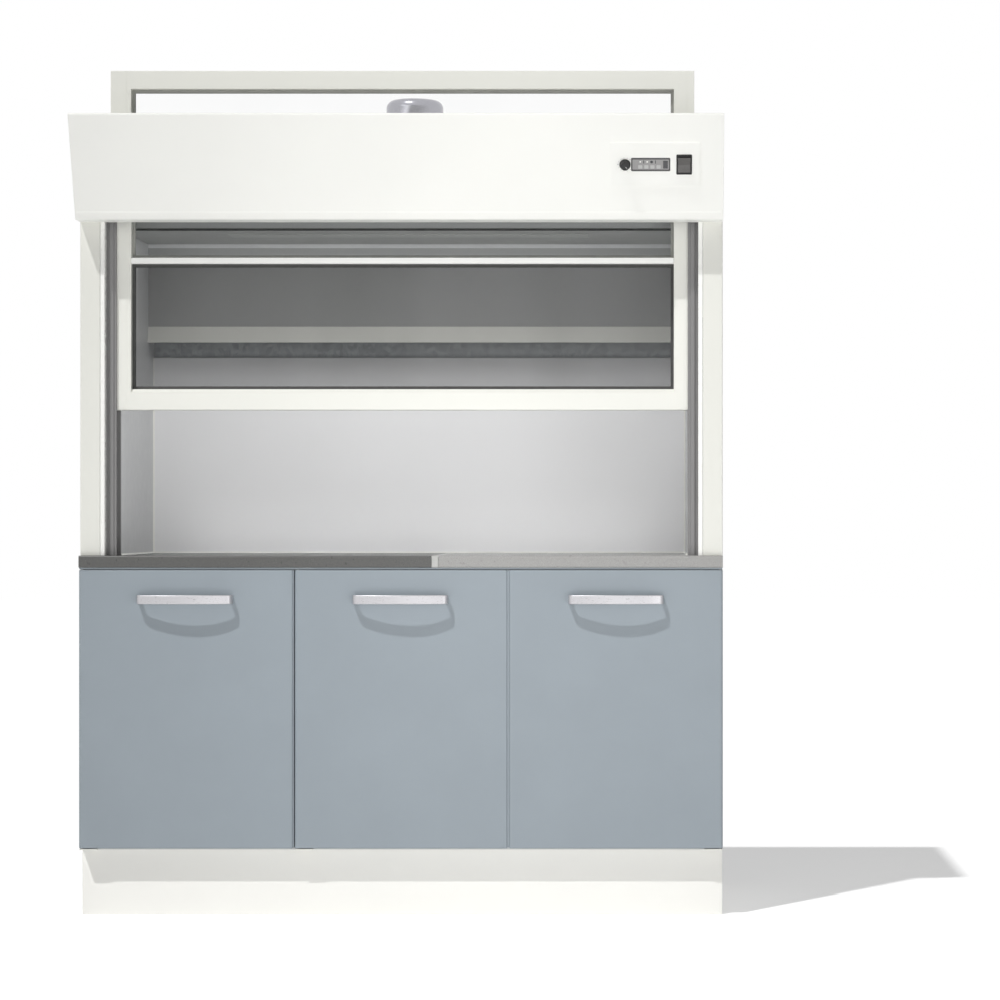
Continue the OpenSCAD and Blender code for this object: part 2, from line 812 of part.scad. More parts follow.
module lamp_diffuser() {
    y = post_y + lamp_y;
    color("white") block(-lamp_len / 2 + board_t, lamp_len / 2 - board_t,
        y - lamp_d / 2 + board_t, y + lamp_d / 2 - board_t,
        ceiling_z - sheet_t, ceiling_z + sheet_t);
}

module filter() {
    y = (baffle_y + baffle_t + rear_inner_y) / 2;
    color("white") {
        block(-filter_len / 2, filter_len / 2, y - filter_d / 2, y + filter_d / 2,
            ceiling_z - filter_h / 2, ceiling_z + sheet_t);
        block(-filter_len / 2 - filter_flange, filter_len / 2 + filter_flange,
            y - filter_d / 2 - filter_flange, y + filter_d / 2 + filter_flange,
            ceiling_z + sheet_t, ceiling_z + filter_h / 2);
    }
}

// Extract fan

module at_fan() {
    translate([0, post_y + fan_y, 0]) children();
}

module fan_housing() {
    neck_r = spigot_neck_r - sheet_t;
    neck_y = rear_inner_y - board_t;
    color("silver") difference() {
        union() {
            at_fan() translate([0, 0, fan_z]) cylinder(r = fan_r, h = fan_h);
            bar_y(outlet_x, outlet_z, post_y + fan_y, neck_y, neck_r);
            at_fan() for (a = [45 : 90 : 315]) rotate(a)
                translate([fan_r - board_t, 0, fan_top_z - sheet_t])
                    cylinder(d = hanger_d, h = fan_drop + sheet_t);
        }
        at_fan() translate([0, 0, fan_z + sheet_t])
            cylinder(r = fan_r - sheet_t, h = fan_h - 2 * sheet_t);
        at_fan() translate([0, 0, fan_z - over]) cylinder(r = inlet_r, h = sheet_t + 2 * over);
        at_fan() translate([0, 0, fan_top_z - sheet_t - over])
            cylinder(r = shaft_d, h = sheet_t + 2 * over);
        bar_y(outlet_x, outlet_z, post_y + fan_y, neck_y + over, neck_r - sheet_t);
    }
}

module fan_motor() {
    color("dimgray") at_fan() difference() {
        translate([0, 0, fan_top_z]) cylinder(r = motor_r, h = motor_h);
        translate([0, 0, fan_top_z - over])
            cylinder(r = shaft_d / 2 + axle_play, h = motor_h / 2 + over);
    }
}

module impeller() {
    bottom = fan_z + 2 * board_t / 3;
    top = fan_top_z - board_t;
    depth = impeller_r / 3;
    color("silver") at_fan() {
        translate([0, 0, bottom]) cylinder(d = 3 * shaft_d, h = top - bottom);
        translate([0, 0, top - sheet_t]) cylinder(r = impeller_r, h = sheet_t);
        translate([0, 0, bottom])
            cylinder(d = shaft_d, h = fan_top_z + motor_h / 2 - over - bottom);
        for (i = [0 : blade_count - 1]) rotate(i * 360 / blade_count)
            translate([impeller_r - depth, -sheet_t / 2, bottom])
                cube([depth - 1, sheet_t, top - bottom]);
    }
}

// A cowl with a shallow domed top and a small bend down to its straight side
module motor_cowl() {
    outer = crowned(cowl_r, cowl_h, dome_h, cowl_bend_r, 0, 4);
    inner = crowned(cowl_r, cowl_h, dome_h, cowl_bend_r, sheet_t, 4);
    color("silver") at_fan() translate([0, 0, head_z]) rotate_extrude($fn = 96)
        polygon(concat([[cowl_r - sheet_t, 0], [cowl_r + 8, 0], [cowl_r + 8, sheet_t],
            [cowl_r, sheet_t]], outer, flipped(inner)));
}

// A tube with a bead that stops it on the rear cover, and a wider end that takes the duct
module outlet_spigot() {
    y0 = rear_inner_y - 2 * board_t;
    y1 = rear_inner_y + sheet_t + spigot_len;
    bead_y = rear_inner_y + sheet_t;
    color("silver") difference() {
        union() {
            bar_y(outlet_x, outlet_z, y0, y1, spigot_neck_r);
            bar_y(outlet_x, outlet_z, bead_y, bead_y + sheet_t, spigot_r + sheet_t);
            bar_y(outlet_x, outlet_z, bead_y + 2 * sheet_t, y1, spigot_r);
        }
        bar_y(outlet_x, outlet_z, y0 - over, y1 + over, spigot_neck_r - sheet_t);
        bar_y(outlet_x, outlet_z, bead_y + 3 * sheet_t, y1 + over, spigot_r - sheet_t);
    }
}

module cable_gland() {
    y = rear_inner_y + sheet_t;
    color("dimgray") difference() {
        union() {
            translate([gland_x, y, outlet_z]) rotate([-90, 0, 0])
                cylinder(r = 1.4 * gland_bore_d, h = 8, $fn = 6);
            bar_y(gland_x, outlet_z, y - 10, y + 24, gland_bore_d);
        }
        bar_y(gland_x, outlet_z, y - 10 - over, y + 24 + over, gland_bore_d / 2);
    }
}

// Sash

module sash_field(x, z0, z1, t) {
    block(-x, x, sash_mid_y - t / 2, sash_mid_y + t / 2, z0, z1);
}
lower_pane_z = sash_z + bottom_rail_h;
upper_pane_top_z = sash_z + sash_h - top_rail_h;

module sash_frame() {
    color("white") difference() {
        block(-sash_x, sash_x, sash_front_y, sash_front_y + sash_d, sash_z, sash_z + sash_h);
        block(-sash_inner_x, sash_inner_x, sash_front_y - over, sash_front_y + sash_d + over,
            lower_pane_z, upper_pane_top_z);
        across(-sash_inner_x, sash_inner_x) polygon([
            [sash_front_y - over, lower_pane_z - rail_bevel - over],
            [sash_front_y + rail_bevel + over, lower_pane_z + over],
            [sash_front_y - over, lower_pane_z + over]]);
        glass_upper();
        glass_lower();
        sash_hollow();
    }
    color("white") both_sides() block(sash_x - near, post_x - guide_web - near,
        sash_mid_y - cable_d, sash_mid_y + cable_d, sash_z, sash_z + anchor_h);
}

// The hollow of the sash's profiles, open at the lower ends of the stiles
module sash_hollow() {
    y0 = sash_front_y + profile_t;
    y1 = sash_front_y + sash_d - profile_t;
    side_x = sash_inner_x + glass_in + profile_t;
    top = sash_z + sash_h - profile_t;
    both_sides() block(side_x, sash_x - profile_t, y0, y1, sash_z - over, top);
    block(-sash_x + 2 * profile_t, sash_x - 2 * profile_t, y0, y1,
        upper_pane_top_z + glass_in + profile_t, top);
    block(-sash_x + 2 * profile_t, sash_x - 2 * profile_t, y0, y1, sash_z + profile_t,
        lower_pane_z - rail_bevel - profile_t);
}

module sash_transom() {
    color("white") difference() {
        block(-sash_inner_x, sash_inner_x, sash_front_y, sash_front_y + sash_d,
            transom_z, transom_z + transom_h);
        glass_upper();
        glass_lower();
    }
}

module glass_lower() {
    color("gray", 0.5) sash_field(sash_inner_x + glass_in, lower_pane_z - glass_in,
        transom_z + glass_in / 2, glass_t);
}

module glass_upper() {
    color("lightblue", 0.4) sash_field(sash_inner_x + glass_in,
        transom_z + transom_h - glass_in / 2, upper_pane_top_z + glass_in, glass_t);
}

// A ring of seal round one pane, on both faces of the glass
module seal_ring(z0, z1) {
    for (y = [sash_mid_y - glass_t / 2 - seal_t, sash_mid_y + glass_t / 2])
        difference() {
            block(-sash_inner_x, sash_inner_x, y, y + seal_t, z0, z1);
            block(-sash_inner_x + seal_w, sash_inner_x - seal_w, y - over, y + seal_t + over,
                z0 + seal_w, z1 - seal_w);
        }
}

module glazing_seals() {
    color("black") {
        seal_ring(lower_pane_z, transom_z);
        seal_ring(transom_z + transom_h, upper_pane_top_z);
    }
}

// Plastic pads that run in the guides, front and rear, low and half way up
module sash_sliders() {
    pad_t = guide_play - slider_gap;
    color("black") both_sides()
        for (z = [sash_z + board_t, sash_z + sash_h / 3],
            y = [sash_front_y - pad_t, sash_front_y + sash_d])
            block(inner_x + 2, sash_x - 1, y, y + pad_t, z, z + slider_h);
}

// The cables from the lugs on the sash's edges up to the pulleys
module sash_cables() {
    color("silver") both_sides() translate([sash_cable_x, sash_mid_y, sash_z + anchor_h])
        cylinder(d = cable_d, h = axle_z - sash_z - anchor_h);
}

module weight_cables() {
    color("silver") both_sides() translate([weight_x, sash_mid_y, weight_top_z + eye_h])
        cylinder(d = cable_d, h = axle_z - weight_top_z - eye_h);
}

module counterweights() {
    color("dimgray") both_sides() {
        block(weight_x - weight_w / 2, weight_x + weight_w / 2, sash_mid_y - weight_d / 2 - 6,
            sash_mid_y + weight_d / 2 - 6, weight_top_z - weight_h, weight_top_z);
        translate([weight_x, sash_mid_y, weight_top_z]) cylinder(d = 2 * cable_d, h = eye_h);
    }
}

// The cable where it lies over each pulley
module cable_wraps() {
    color("silver") both_sides() translate([axle_x, sash_mid_y, axle_z])
        rotate([90, 0, 0]) rotate_extrude(angle = 180, $fn = 64)
            translate([pulley_r, 0]) circle(d = cable_d, $fn = 24);
}

module pulley_axles() {
    hub = pulley_w / 2 + near;
    color("silver") both_sides() {
        bar_y(axle_x, axle_z, post_y + sheet_t, post_back_y - sheet_t, axle_d / 2);
        bar_y(axle_x, axle_z, post_y + sheet_t, sash_mid_y - hub, axle_d / 2 + 3);
        bar_y(axle_x, axle_z, sash_mid_y + hub, post_back_y - sheet_t, axle_d / 2 + 3);
    }
}

module pulley() {
    groove_r = pulley_r - cable_d / 2 - near;
    color("gray") translate([axle_x, sash_mid_y, axle_z]) rotate([90, 0, 0])
        rotate_extrude($fn = 64) polygon([
            [axle_d / 2 + axle_play, -pulley_w / 2], [pulley_rim_r, -pulley_w / 2],
            [pulley_rim_r, -pulley_w / 3], [groove_r, -cable_d / 2 - near],
            [groove_r, cable_d / 2 + near], [pulley_rim_r, pulley_w / 3],
            [pulley_rim_r, pulley_w / 2], [axle_d / 2 + axle_play, pulley_w / 2]]);
}
module pulley_left() { mirror([1, 0, 0]) pulley(); }
module pulley_right() { pulley(); }

plinth();
levelling_feet();
cabinet_uprights();
cabinet_bottom();
cabinet_rails();
cabinet_back();
shelves();
shelf_pins();
door_pivots();
door_catches();
worktop_left();
worktop_joint();
worktop_right();
post_left();
post_right();
guide_left();
guide_right();
outer_sides();
chamber_linings();
back_wall();
baffle();
rear_cover();
ceiling();
roof_panel();
canopy_shell();
canopy_back();
control_plate();
key_strip();
switch_body();
control_box();
lamp_housing();
lamp_diffuser();
filter();
fan_housing();
fan_motor();
motor_cowl();
outlet_spigot();
cable_gland();
pulley_axles();
cable_wraps();
sash_frame();
sash_transom();
glass_upper();
glass_lower();
glazing_seals();
sash_sliders();
sash_cables();
weight_cables();
counterweights();
pulley_left();
pulley_right();
impeller();
knob();
rocker();
door_left();
door_middle();
door_right();
handle_left();
handle_middle();
handle_right();
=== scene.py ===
"""The looks of a dental laboratory hood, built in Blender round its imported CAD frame.

Every length is in metres, in the frame of the CAD part: X to the right, Y to the back and
Z up, with the floor at zero and the front towards the viewer at negative Y.
"""
from __future__ import annotations

import logging
import math
from dataclasses import dataclass
from enum import Enum
from typing import Sequence

import bmesh
import bpy
import numpy as np
from mathutils import Matrix
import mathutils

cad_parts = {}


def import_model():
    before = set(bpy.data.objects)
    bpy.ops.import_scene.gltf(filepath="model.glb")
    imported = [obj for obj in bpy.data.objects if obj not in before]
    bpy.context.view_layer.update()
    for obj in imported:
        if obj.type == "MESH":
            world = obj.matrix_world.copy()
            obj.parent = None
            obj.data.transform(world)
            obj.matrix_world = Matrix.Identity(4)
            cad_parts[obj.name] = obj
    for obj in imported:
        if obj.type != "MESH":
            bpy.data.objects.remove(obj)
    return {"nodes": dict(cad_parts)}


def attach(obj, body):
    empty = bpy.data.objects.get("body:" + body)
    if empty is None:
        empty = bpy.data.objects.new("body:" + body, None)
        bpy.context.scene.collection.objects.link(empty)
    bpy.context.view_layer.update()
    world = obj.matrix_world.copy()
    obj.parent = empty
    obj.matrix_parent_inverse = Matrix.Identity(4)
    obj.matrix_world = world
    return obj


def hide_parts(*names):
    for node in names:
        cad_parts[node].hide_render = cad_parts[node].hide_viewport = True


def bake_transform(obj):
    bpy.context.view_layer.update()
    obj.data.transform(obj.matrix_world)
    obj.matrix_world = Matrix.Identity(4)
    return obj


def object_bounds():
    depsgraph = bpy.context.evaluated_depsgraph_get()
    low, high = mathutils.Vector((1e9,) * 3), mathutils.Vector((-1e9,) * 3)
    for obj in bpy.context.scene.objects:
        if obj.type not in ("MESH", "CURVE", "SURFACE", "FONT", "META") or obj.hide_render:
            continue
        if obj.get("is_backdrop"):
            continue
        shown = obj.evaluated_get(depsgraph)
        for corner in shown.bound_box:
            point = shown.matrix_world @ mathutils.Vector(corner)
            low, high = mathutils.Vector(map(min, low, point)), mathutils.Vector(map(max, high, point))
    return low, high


log = logging.getLogger("hood")

Vector = tuple[float, float, float]
Colour = tuple[float, float, float]
Corners = np.ndarray | Sequence[Sequence[float]]


def srgb(red: int, green: int, blue: int) -> Colour:
    """Turn a colour of 0 to 255 a channel, as a screen shows it, into linear light.

    Args:
        red: red channel.
        green: green channel.
        blue: blue channel.

    Returns:
        The three channels in linear light.
    """
    share = np.array([red, green, blue]) / 255.0
    linear = np.where(share <= 0.04045, share / 12.92, ((share + 0.055) / 1.055) ** 2.4)
    return tuple(float(value) for value in linear)


class Axis(Enum):
    """The axis that a section is carried along."""

    X = 0
    Y = 1
    Z = 2


# Shapes: every piece is made of shells, and a shell is a grid of rings


@dataclass
class Shell:
    """A closed surface.

    Attributes:
        points: one row for each vertex.
        faces: the vertex numbers of each face, counter-clockwise from outside.
    """

    points: np.ndarray
    faces: list[list[int]]

    def mirrored(self) -> "Shell":
        """Return a copy on the other side of the hood, with its faces turned back outwards."""
        return Shell(self.points * (-1.0, 1.0, 1.0), [face[::-1] for face in self.faces])

    def turned(self, matrix: np.ndarray, centre: Sequence[float]) -> "Shell":
        """Return a copy turned by a rotation matrix and then moved to a centre."""
        return Shell(self.points @ matrix.T + np.asarray(centre), self.faces)


def ring_faces(rings: int, count: int) -> np.ndarray:
    """Join neighbouring rings of a grid with four-sided faces.

    Args:
        rings: how many rings lie one after another.
        count: how many points each ring has.

    Returns:
        The faces, one row of four vertex numbers each.
    """
    low = np.arange(rings - 1)[:, None] * count
    here = np.arange(count)[None, :]
    after = (here + 1) % count
    corners = (low + here, low + after, low + count + after, low + count + here)
    return np.stack(corners, axis=-1).reshape(-1, 4)


def shell_of(rings: np.ndarray, capped: bool = True) -> Shell:
    """Close a stack of rings into a shell.

    Args:
        rings: array of rings by points by three. The rings run counter-clockwise about
            the direction in which they are stacked.
        capped: whether the first and the last ring get a flat face. A stack that ends
            where it began needs none.

    Returns:
        The closed shell.
    """
    rows, count = rings.shape[:2]
    faces = ring_faces(rows, count).tolist()
    if capped:
        faces.append(list(range(count))[::-1])
        faces.append(list(range((rows - 1) * count, rows * count)))
    return Shell(rings.reshape(-1, 3), faces)


def outline(corners: np.ndarray, radii: np.ndarray, inset: float, steps: int) -> np.ndarray:
    """Draw a closed outline whose corners are arcs, moved inwards by an inset.

    Each corner moves along the sum of its two edges' inward normals, and its arc runs from
    one edge's normal to the other's. A corner that points outwards loses the inset from its
    radius, and one that points inwards gains it.

    Args:
        corners: the corners, counter-clockwise, one row of two each.
        radii: the radius of each corner's arc.
        inset: how far each edge moves inwards.
        steps: how many pieces each arc has.

    Returns:
        The points of the outline, one row of two each.
    """
    along_in = corners - np.roll(corners, 1, axis=0)
    along_in /= np.linalg.norm(along_in, axis=1)[:, None]
    along_out = np.roll(along_in, -1, axis=0)
    normal_in = np.stack([-along_in[:, 1], along_in[:, 0]], axis=1)
    normal_out = np.stack([-along_out[:, 1], along_out[:, 0]], axis=1)
    between = (normal_in + normal_out) / (1 + (normal_in * normal_out).sum(axis=1))[:, None]
    cross = along_in[:, 0] * along_out[:, 1] - along_in[:, 1] * along_out[:, 0]
    turn = np.arctan2(cross, (along_in * along_out).sum(axis=1))
    side = np.sign(cross)
    radius = np.maximum(radii - side * inset, 0.0)
    centre = corners + between * (inset + side * radius)[:, None]
    angle = turn[:, None] * np.linspace(0, 1, steps + 1)[None, :]
    ahead = np.stack([-normal_in[:, 1], normal_in[:, 0]], axis=1)
    ray = (np.cos(angle)[..., None] * normal_in[:, None]
           + np.sin(angle)[..., None] * ahead[:, None])
    points = centre[:, None] - (side * radius)[:, None, None] * ray
    return points.reshape(-1, 2)


def carried(corners: Corners, radii: float | Sequence[float], span: tuple[float, float],
            axis: Axis, end_r: float | tuple[float, float] = 0.0, steps: int = 4) -> Shell:
    """Carry an outline along an axis, with its two ends rounded over.

    At an end the outline is drawn in by r(1 - sin a) while it moves along by r(1 - cos a),
    for a from nought to a quarter turn, so the rim of each end is a quarter circle.

    Args:
        corners: the corners, counter-clockwise as seen from the axis's far end: (y, z) for
            X, (z, x) for Y and (x, y) for Z.
        radii: the radius of every corner, or one for each.
        span: where the outline starts and ends on the axis.
        axis: the axis that it is carried along.
        end_r: the radius of the rims, or one for each end.
        steps: how many pieces each arc has.

    Returns:
        The closed shell.
    """
    points = np.asarray(corners, dtype=float)
    arcs = np.broadcast_to(np.asarray(radii, dtype=float), (len(points),))
    rims = np.broadcast_to(np.asarray(end_r, dtype=float), (2,))
    angles = np.linspace(0, math.pi / 2, steps + 1)
    insets = np.concatenate([rims[0] * (1 - np.sin(angles)), rims[1] * (1 - np.sin(angles[::-1]))])
    places = np.concatenate([span[0] + rims[0] * (1 - np.cos(angles)),
                             span[1] - rims[1] * (1 - np.cos(angles[::-1]))])
    if rims[0] == 0:
        insets, places = insets[steps:], places[steps:]
    if rims[1] == 0:
        insets, places = insets[:-steps], places[:-steps]
    flat = np.stack([outline(points, arcs, float(inset), steps) for inset in insets])
    rings = np.empty(flat.shape[:2] + (3,))
    rings[..., axis.value] = places[:, None]
    rings[..., (axis.value + 1) % 3] = flat[..., 0]
    rings[..., (axis.value + 2) % 3] = flat[..., 1]
    return shell_of(rings)


def board(low: Sequence[float], high: Sequence[float], edge_r: float,
          axis: Axis = Axis.Z, steps: int = 3) -> Shell:
    """Make a flat board whose edges and corners are all rounded.

    Args:
        low: its lowest corner.
        high: its highest corner.
        edge_r: the radius of its edges.
        axis: the axis that its section is carried along.
        steps: how many pieces each arc has.

    Returns:
        The closed shell.
    """
    a, b = (axis.value + 1) % 3, (axis.value + 2) % 3
    corners = [(low[a], low[b]), (high[a], low[b]), (high[a], high[b]), (low[a], high[b])]
    return carried(corners, edge_r, (low[axis.value], high[axis.value]), axis, edge_r, steps)


def turning(direction: Sequence[float]) -> np.ndarray:
    """Return a rotation matrix whose third column is the given direction.

    Args:
        direction: the direction that the local Z axis is turned to.

    Returns:
        The three-by-three matrix.
    """
    third = np.asarray(direction, dtype=float)
    third = third / np.linalg.norm(third)
    helper = np.array([0.0, 1.0, 0.0]) if abs(third[1]) < 0.9 else np.array([1.0, 0.0, 0.0])
    first = np.cross(helper, third)
    first /= np.linalg.norm(first)
    return np.stack([first, np.cross(third, first), third], axis=1)


def spun(angle: float, axis: Axis) -> np.ndarray:
    """Return the matrix of a turn by an angle, given in radians, about one axis."""
    a, b = (axis.value + 1) % 3, (axis.value + 2) % 3
    matrix = np.eye(3)
    matrix[a, a] = matrix[b, b] = math.cos(angle)
    matrix[a, b], matrix[b, a] = -math.sin(angle), math.sin(angle)
    return matrix


def turned_form(profile: Sequence[tuple[float, float]], centre: Sequence[float],
                direction: Sequence[float] = (0, 0, 1), sides: int = 48) -> Shell:
    """Turn a profile about an axis, as a lathe does.

    A point (r, h) of the profile becomes (r cos a, r sin a, h) for a full turn of a.

    Args:
        profile: radius and height, upwards along the outside. For a ring it comes back down
            on the inside and ends where it began.
        centre: the place of the profile's origin.
        direction: the direction of the axis.
        sides: how many points lie on each ring.

    Returns:
        The closed shell.
    """
    radius, height = np.asarray(profile, dtype=float).T
    angle = np.linspace(0, 2 * math.pi, sides, endpoint=False)
    rings = np.empty((len(radius), sides, 3))
    rings[..., 0] = radius[:, None] * np.cos(angle)
    rings[..., 1] = radius[:, None] * np.sin(angle)
    rings[..., 2] = height[:, None]
    shell = shell_of(rings, capped=profile[0] != profile[-1])
    return shell.turned(turning(direction), centre)


def arc(centre: tuple[float, float], radius: float, start: float, end: float,
        count: int) -> np.ndarray:
    """Return points of a circle's arc between two angles given in degrees."""
    angle = np.radians(np.linspace(start, end, count))
    return np.stack([centre[0] + radius * np.cos(angle), centre[1] + radius * np.sin(angle)], 1)


def crowned(half: float, foot: float, rise: float, bend_r: float, inset: float,
            steps: int) -> np.ndarray:
    """Return half of a crowned outline: from its side, over a bend, to its middle.

    The bend runs smoothly into a shallow arc. With w for the half width less the bend's
    radius r, and h for the rise, that arc's radius is (w² + h² - r²) / (2 (h - r)).

    Args:
        half: half the outline's width.
        foot: the height at which the bend starts.
        rise: how far the middle stands over that height.
        bend_r: the bend's radius.
        inset: how far the outline is drawn in.
        steps: how many pieces the bend and the arc have each.

    Returns:
        The points, one row each.
    """
    reach = half - bend_r
    crown_r = (reach ** 2 + rise ** 2 - bend_r ** 2) / (2 * (rise - bend_r))
    lean = math.degrees(math.asin(reach / (crown_r - bend_r)))
    bend = arc((reach, foot), bend_r - inset, 0, 90 - lean, steps + 1)
    crown = arc((0.0, foot + rise - crown_r), crown_r - inset, 90 - lean, 90, steps + 1)
    return np.concatenate([bend[:-1], crown])


def mesh_piece(name: str, shells: Sequence[Shell], crease: float = 35.0) -> bpy.types.Object:
    """Put shells together into one mesh object, smooth but for its sharp edges.

    Args:
        name: the object's name.
        shells: the closed shells.
        crease: the angle in degrees from which an edge stays sharp.

    Returns:
        The new object, linked to the scene.
    """
    points = np.concatenate([shell.points for shell in shells])
    starts = np.cumsum([0] + [len(shell.points) for shell in shells])
    faces = [[int(start) + index for index in face]
             for shell, start in zip(shells, starts) for face in shell.faces]
    mesh = bpy.data.meshes.new(name)
    mesh.from_pydata(points, [], faces)
    work = bmesh.new()
    work.from_mesh(mesh)
    bmesh.ops.remove_doubles(work, verts=work.verts, dist=1e-7)
    bmesh.ops.dissolve_degenerate(work, edges=work.edges, dist=1e-8)
    work.to_mesh(mesh)
    work.free()
    mesh.polygons.foreach_set("use_smooth", np.ones(len(mesh.polygons), dtype=bool))
    mesh.set_sharp_from_angle(angle=math.radians(crease))
    piece = bpy.data.objects.new(name, mesh)
    bpy.context.collection.objects.link(piece)
    level = piece.modifiers.new("flat faces stay flat", "WEIGHTED_NORMAL")
    level.keep_sharp = True
    return piece


# Finishes: each is a frozen set of sizes and colours that draws its own nodes


class Graph:
    """The node tree of one material, and short ways to fill it."""

    def __init__(self, name: str) -> None:
        """Start a material with a Principled shader and Object coordinates."""
        self.material = bpy.data.materials.new(name)
        self.material.use_nodes = True
        self.tree = self.material.node_tree
        self.shader = self.tree.nodes["Principled BSDF"]
        self.place = self.tree.nodes.new("ShaderNodeTexCoord").outputs["Object"]

    def value(self, **sockets: float | tuple) -> None:
        """Set sockets of the shader, with underscores for the blanks in their names."""
        for name, setting in sockets.items():
            self.shader.inputs[name.replace("_", " ")].default_value = setting

    def link(self, output: bpy.types.NodeSocket, name: str) -> None:
        """Feed an output into a socket of the shader."""
        self.tree.links.new(output, self.shader.inputs[name])

    def stretched(self, scale: Vector) -> bpy.types.NodeSocket:
        """Return the Object coordinates, stretched by a factor on each axis."""
        mapping = self.tree.nodes.new("ShaderNodeMapping")
        mapping.inputs["Scale"].default_value = scale
        self.tree.links.new(self.place, mapping.inputs["Vector"])
        return mapping.outputs["Vector"]

    def noise(self, scale: float, detail: float = 2.0, stretch: Vector | None = None,
              rough: float = 0.5) -> bpy.types.NodeSocket:
        """Add cloudy noise.

        Args:
            scale: how many blobs lie on a metre.
            detail: how many finer layers it has.
            stretch: a factor for each axis, for drawn-out grain.
            rough: how strong the finer layers are.

        Returns:
            The noise's value, from nought to one.
        """
        node = self.tree.nodes.new("ShaderNodeTexNoise")
        node.inputs["Scale"].default_value = scale
        node.inputs["Detail"].default_value = detail
        node.inputs["Roughness"].default_value = rough
        source = self.stretched(stretch) if stretch else self.place
        self.tree.links.new(source, node.inputs["Vector"])
        return node.outputs["Fac"]

    def cells(self, scale: float) -> bpy.types.NodeSocket:
        """Add a pattern of cells and return a random grey for each cell."""
        node = self.tree.nodes.new("ShaderNodeTexVoronoi")
        node.inputs["Scale"].default_value = scale
        self.tree.links.new(self.place, node.inputs["Vector"])
        grey = self.tree.nodes.new("ShaderNodeRGBToBW")
        self.tree.links.new(node.outputs["Color"], grey.inputs["Color"])
        return grey.outputs["Val"]

    def tint(self, source: bpy.types.NodeSocket,
             stops: Sequence[tuple[float, Colour]]) -> None:
        """Colour the surface by a value.

        Args:
            source: the value.
            stops: place and colour of each stop, in rising order.
        """
        node = self.tree.nodes.new("ShaderNodeValToRGB")
        band = node.color_ramp
        while len(band.elements) < len(stops):
            band.elements.new(1.0)
        for element, (position, colour) in zip(band.elements, stops):
            element.position = position
            element.color = (*colour, 1.0)
        self.tree.links.new(source, node.inputs["Fac"])
        self.link(node.outputs["Color"], "Base Color")

    def spread(self, source: bpy.types.NodeSocket, low: float, high: float,
               inside: tuple[float, float] = (0.3, 0.7)) -> bpy.types.NodeSocket:
        """Map a value from the inside range to the range from low to high."""
        node = self.tree.nodes.new("ShaderNodeMapRange")
        node.inputs["From Min"].default_value = inside[0]
        node.inputs["From Max"].default_value = inside[1]
        node.inputs["To Min"].default_value = low
        node.inputs["To Max"].default_value = high
        self.tree.links.new(source, node.inputs["Value"])
        return node.outputs["Result"]

    def rough(self, source: bpy.types.NodeSocket, low: float, high: float,
              inside: tuple[float, float] = (0.3, 0.7)) -> None:
        """Let the roughness follow a value from low to high, as spread does."""
        self.link(self.spread(source, low, high, inside), "Roughness")

    def bump(self, source: bpy.types.NodeSocket, depth: float, strength: float = 1.0) -> None:
        """Raise the surface by a value.

        Args:
            source: the height, from nought to one.
            depth: the height in metres at one.
            strength: how much of the bump shows.
        """
        node = self.tree.nodes.new("ShaderNodeBump")
        node.inputs["Distance"].default_value = depth
        node.inputs["Strength"].default_value = strength
        self.tree.links.new(source, node.inputs["Height"])
        earlier = self.shader.inputs["Normal"]
        if earlier.is_linked:
            self.tree.links.new(earlier.links[0].from_socket, node.inputs["Normal"])
        self.link(node.outputs["Normal"], "Normal")


def shade(colour: Colour, factor: float) -> Colour:
    """Return a colour made lighter or darker by a factor."""
    return tuple(min(channel * factor, 1.0) for channel in colour)


@dataclass(frozen=True)
class Finish:
    """What every finish has.

    Attributes:
        name: the material's name.
        slot: the material slot that it belongs to.
        colour: its main colour in linear light.
    """

    name: str
    slot: str
    colour: Colour

    def draw(self, graph: Graph) -> None:
        """Fill the node tree."""
        raise NotImplementedError

    def material(self) -> bpy.types.Material:
        """Return the material, made on first use."""
        made = bpy.data.materials.get(self.name)
        if made is None:
            graph = Graph(self.name)
            graph.value(Base_Color=(*self.colour, 1.0))
            self.draw(graph)
            made = graph.material
        return made


@dataclass(frozen=True)
class PowderCoat(Finish):
    """Stoved powder paint: a faint orange peel and a hint of uneven depth.

    Attributes:
        roughness: its mean roughness.
        peel: the height of the orange peel in metres.
    """

    roughness: float = 0.42
    peel: float = 0.00005

    def draw(self, graph: Graph) -> None:
        """Fill the node tree."""
        cloud = graph.noise(3.0, 3.0)
        graph.tint(cloud, [(0.3, shade(self.colour, 0.975)), (0.7, self.colour)])
        graph.rough(graph.noise(40.0), self.roughness - 0.05, self.roughness + 0.05)
        graph.bump(graph.noise(650.0, 1.0), self.peel, 0.5)


@dataclass(frozen=True)
class Laminate(Finish):
    """Pressed laminate on board: a fine pearl texture and a faint large mottling.

    Attributes:
        roughness: its mean roughness.
        mottle: how much lighter and darker the mottling is.
        pearl: the height of the pearl texture in metres.
    """

    roughness: float = 0.48
    mottle: float = 0.04
    pearl: float = 0.00004

    def draw(self, graph: Graph) -> None:
        """Fill the node tree."""
        cloud = graph.noise(5.0, 4.0, rough=0.6)
        grain = graph.noise(900.0, 2.0)
        graph.tint(cloud, [(0.3, shade(self.colour, 1 - self.mottle)),
                           (0.7, shade(self.colour, 1 + self.mottle))])
        graph.rough(grain, self.roughness - 0.06, self.roughness + 0.06)
        graph.bump(graph.noise(1400.0, 2.0), self.pearl, 0.6)


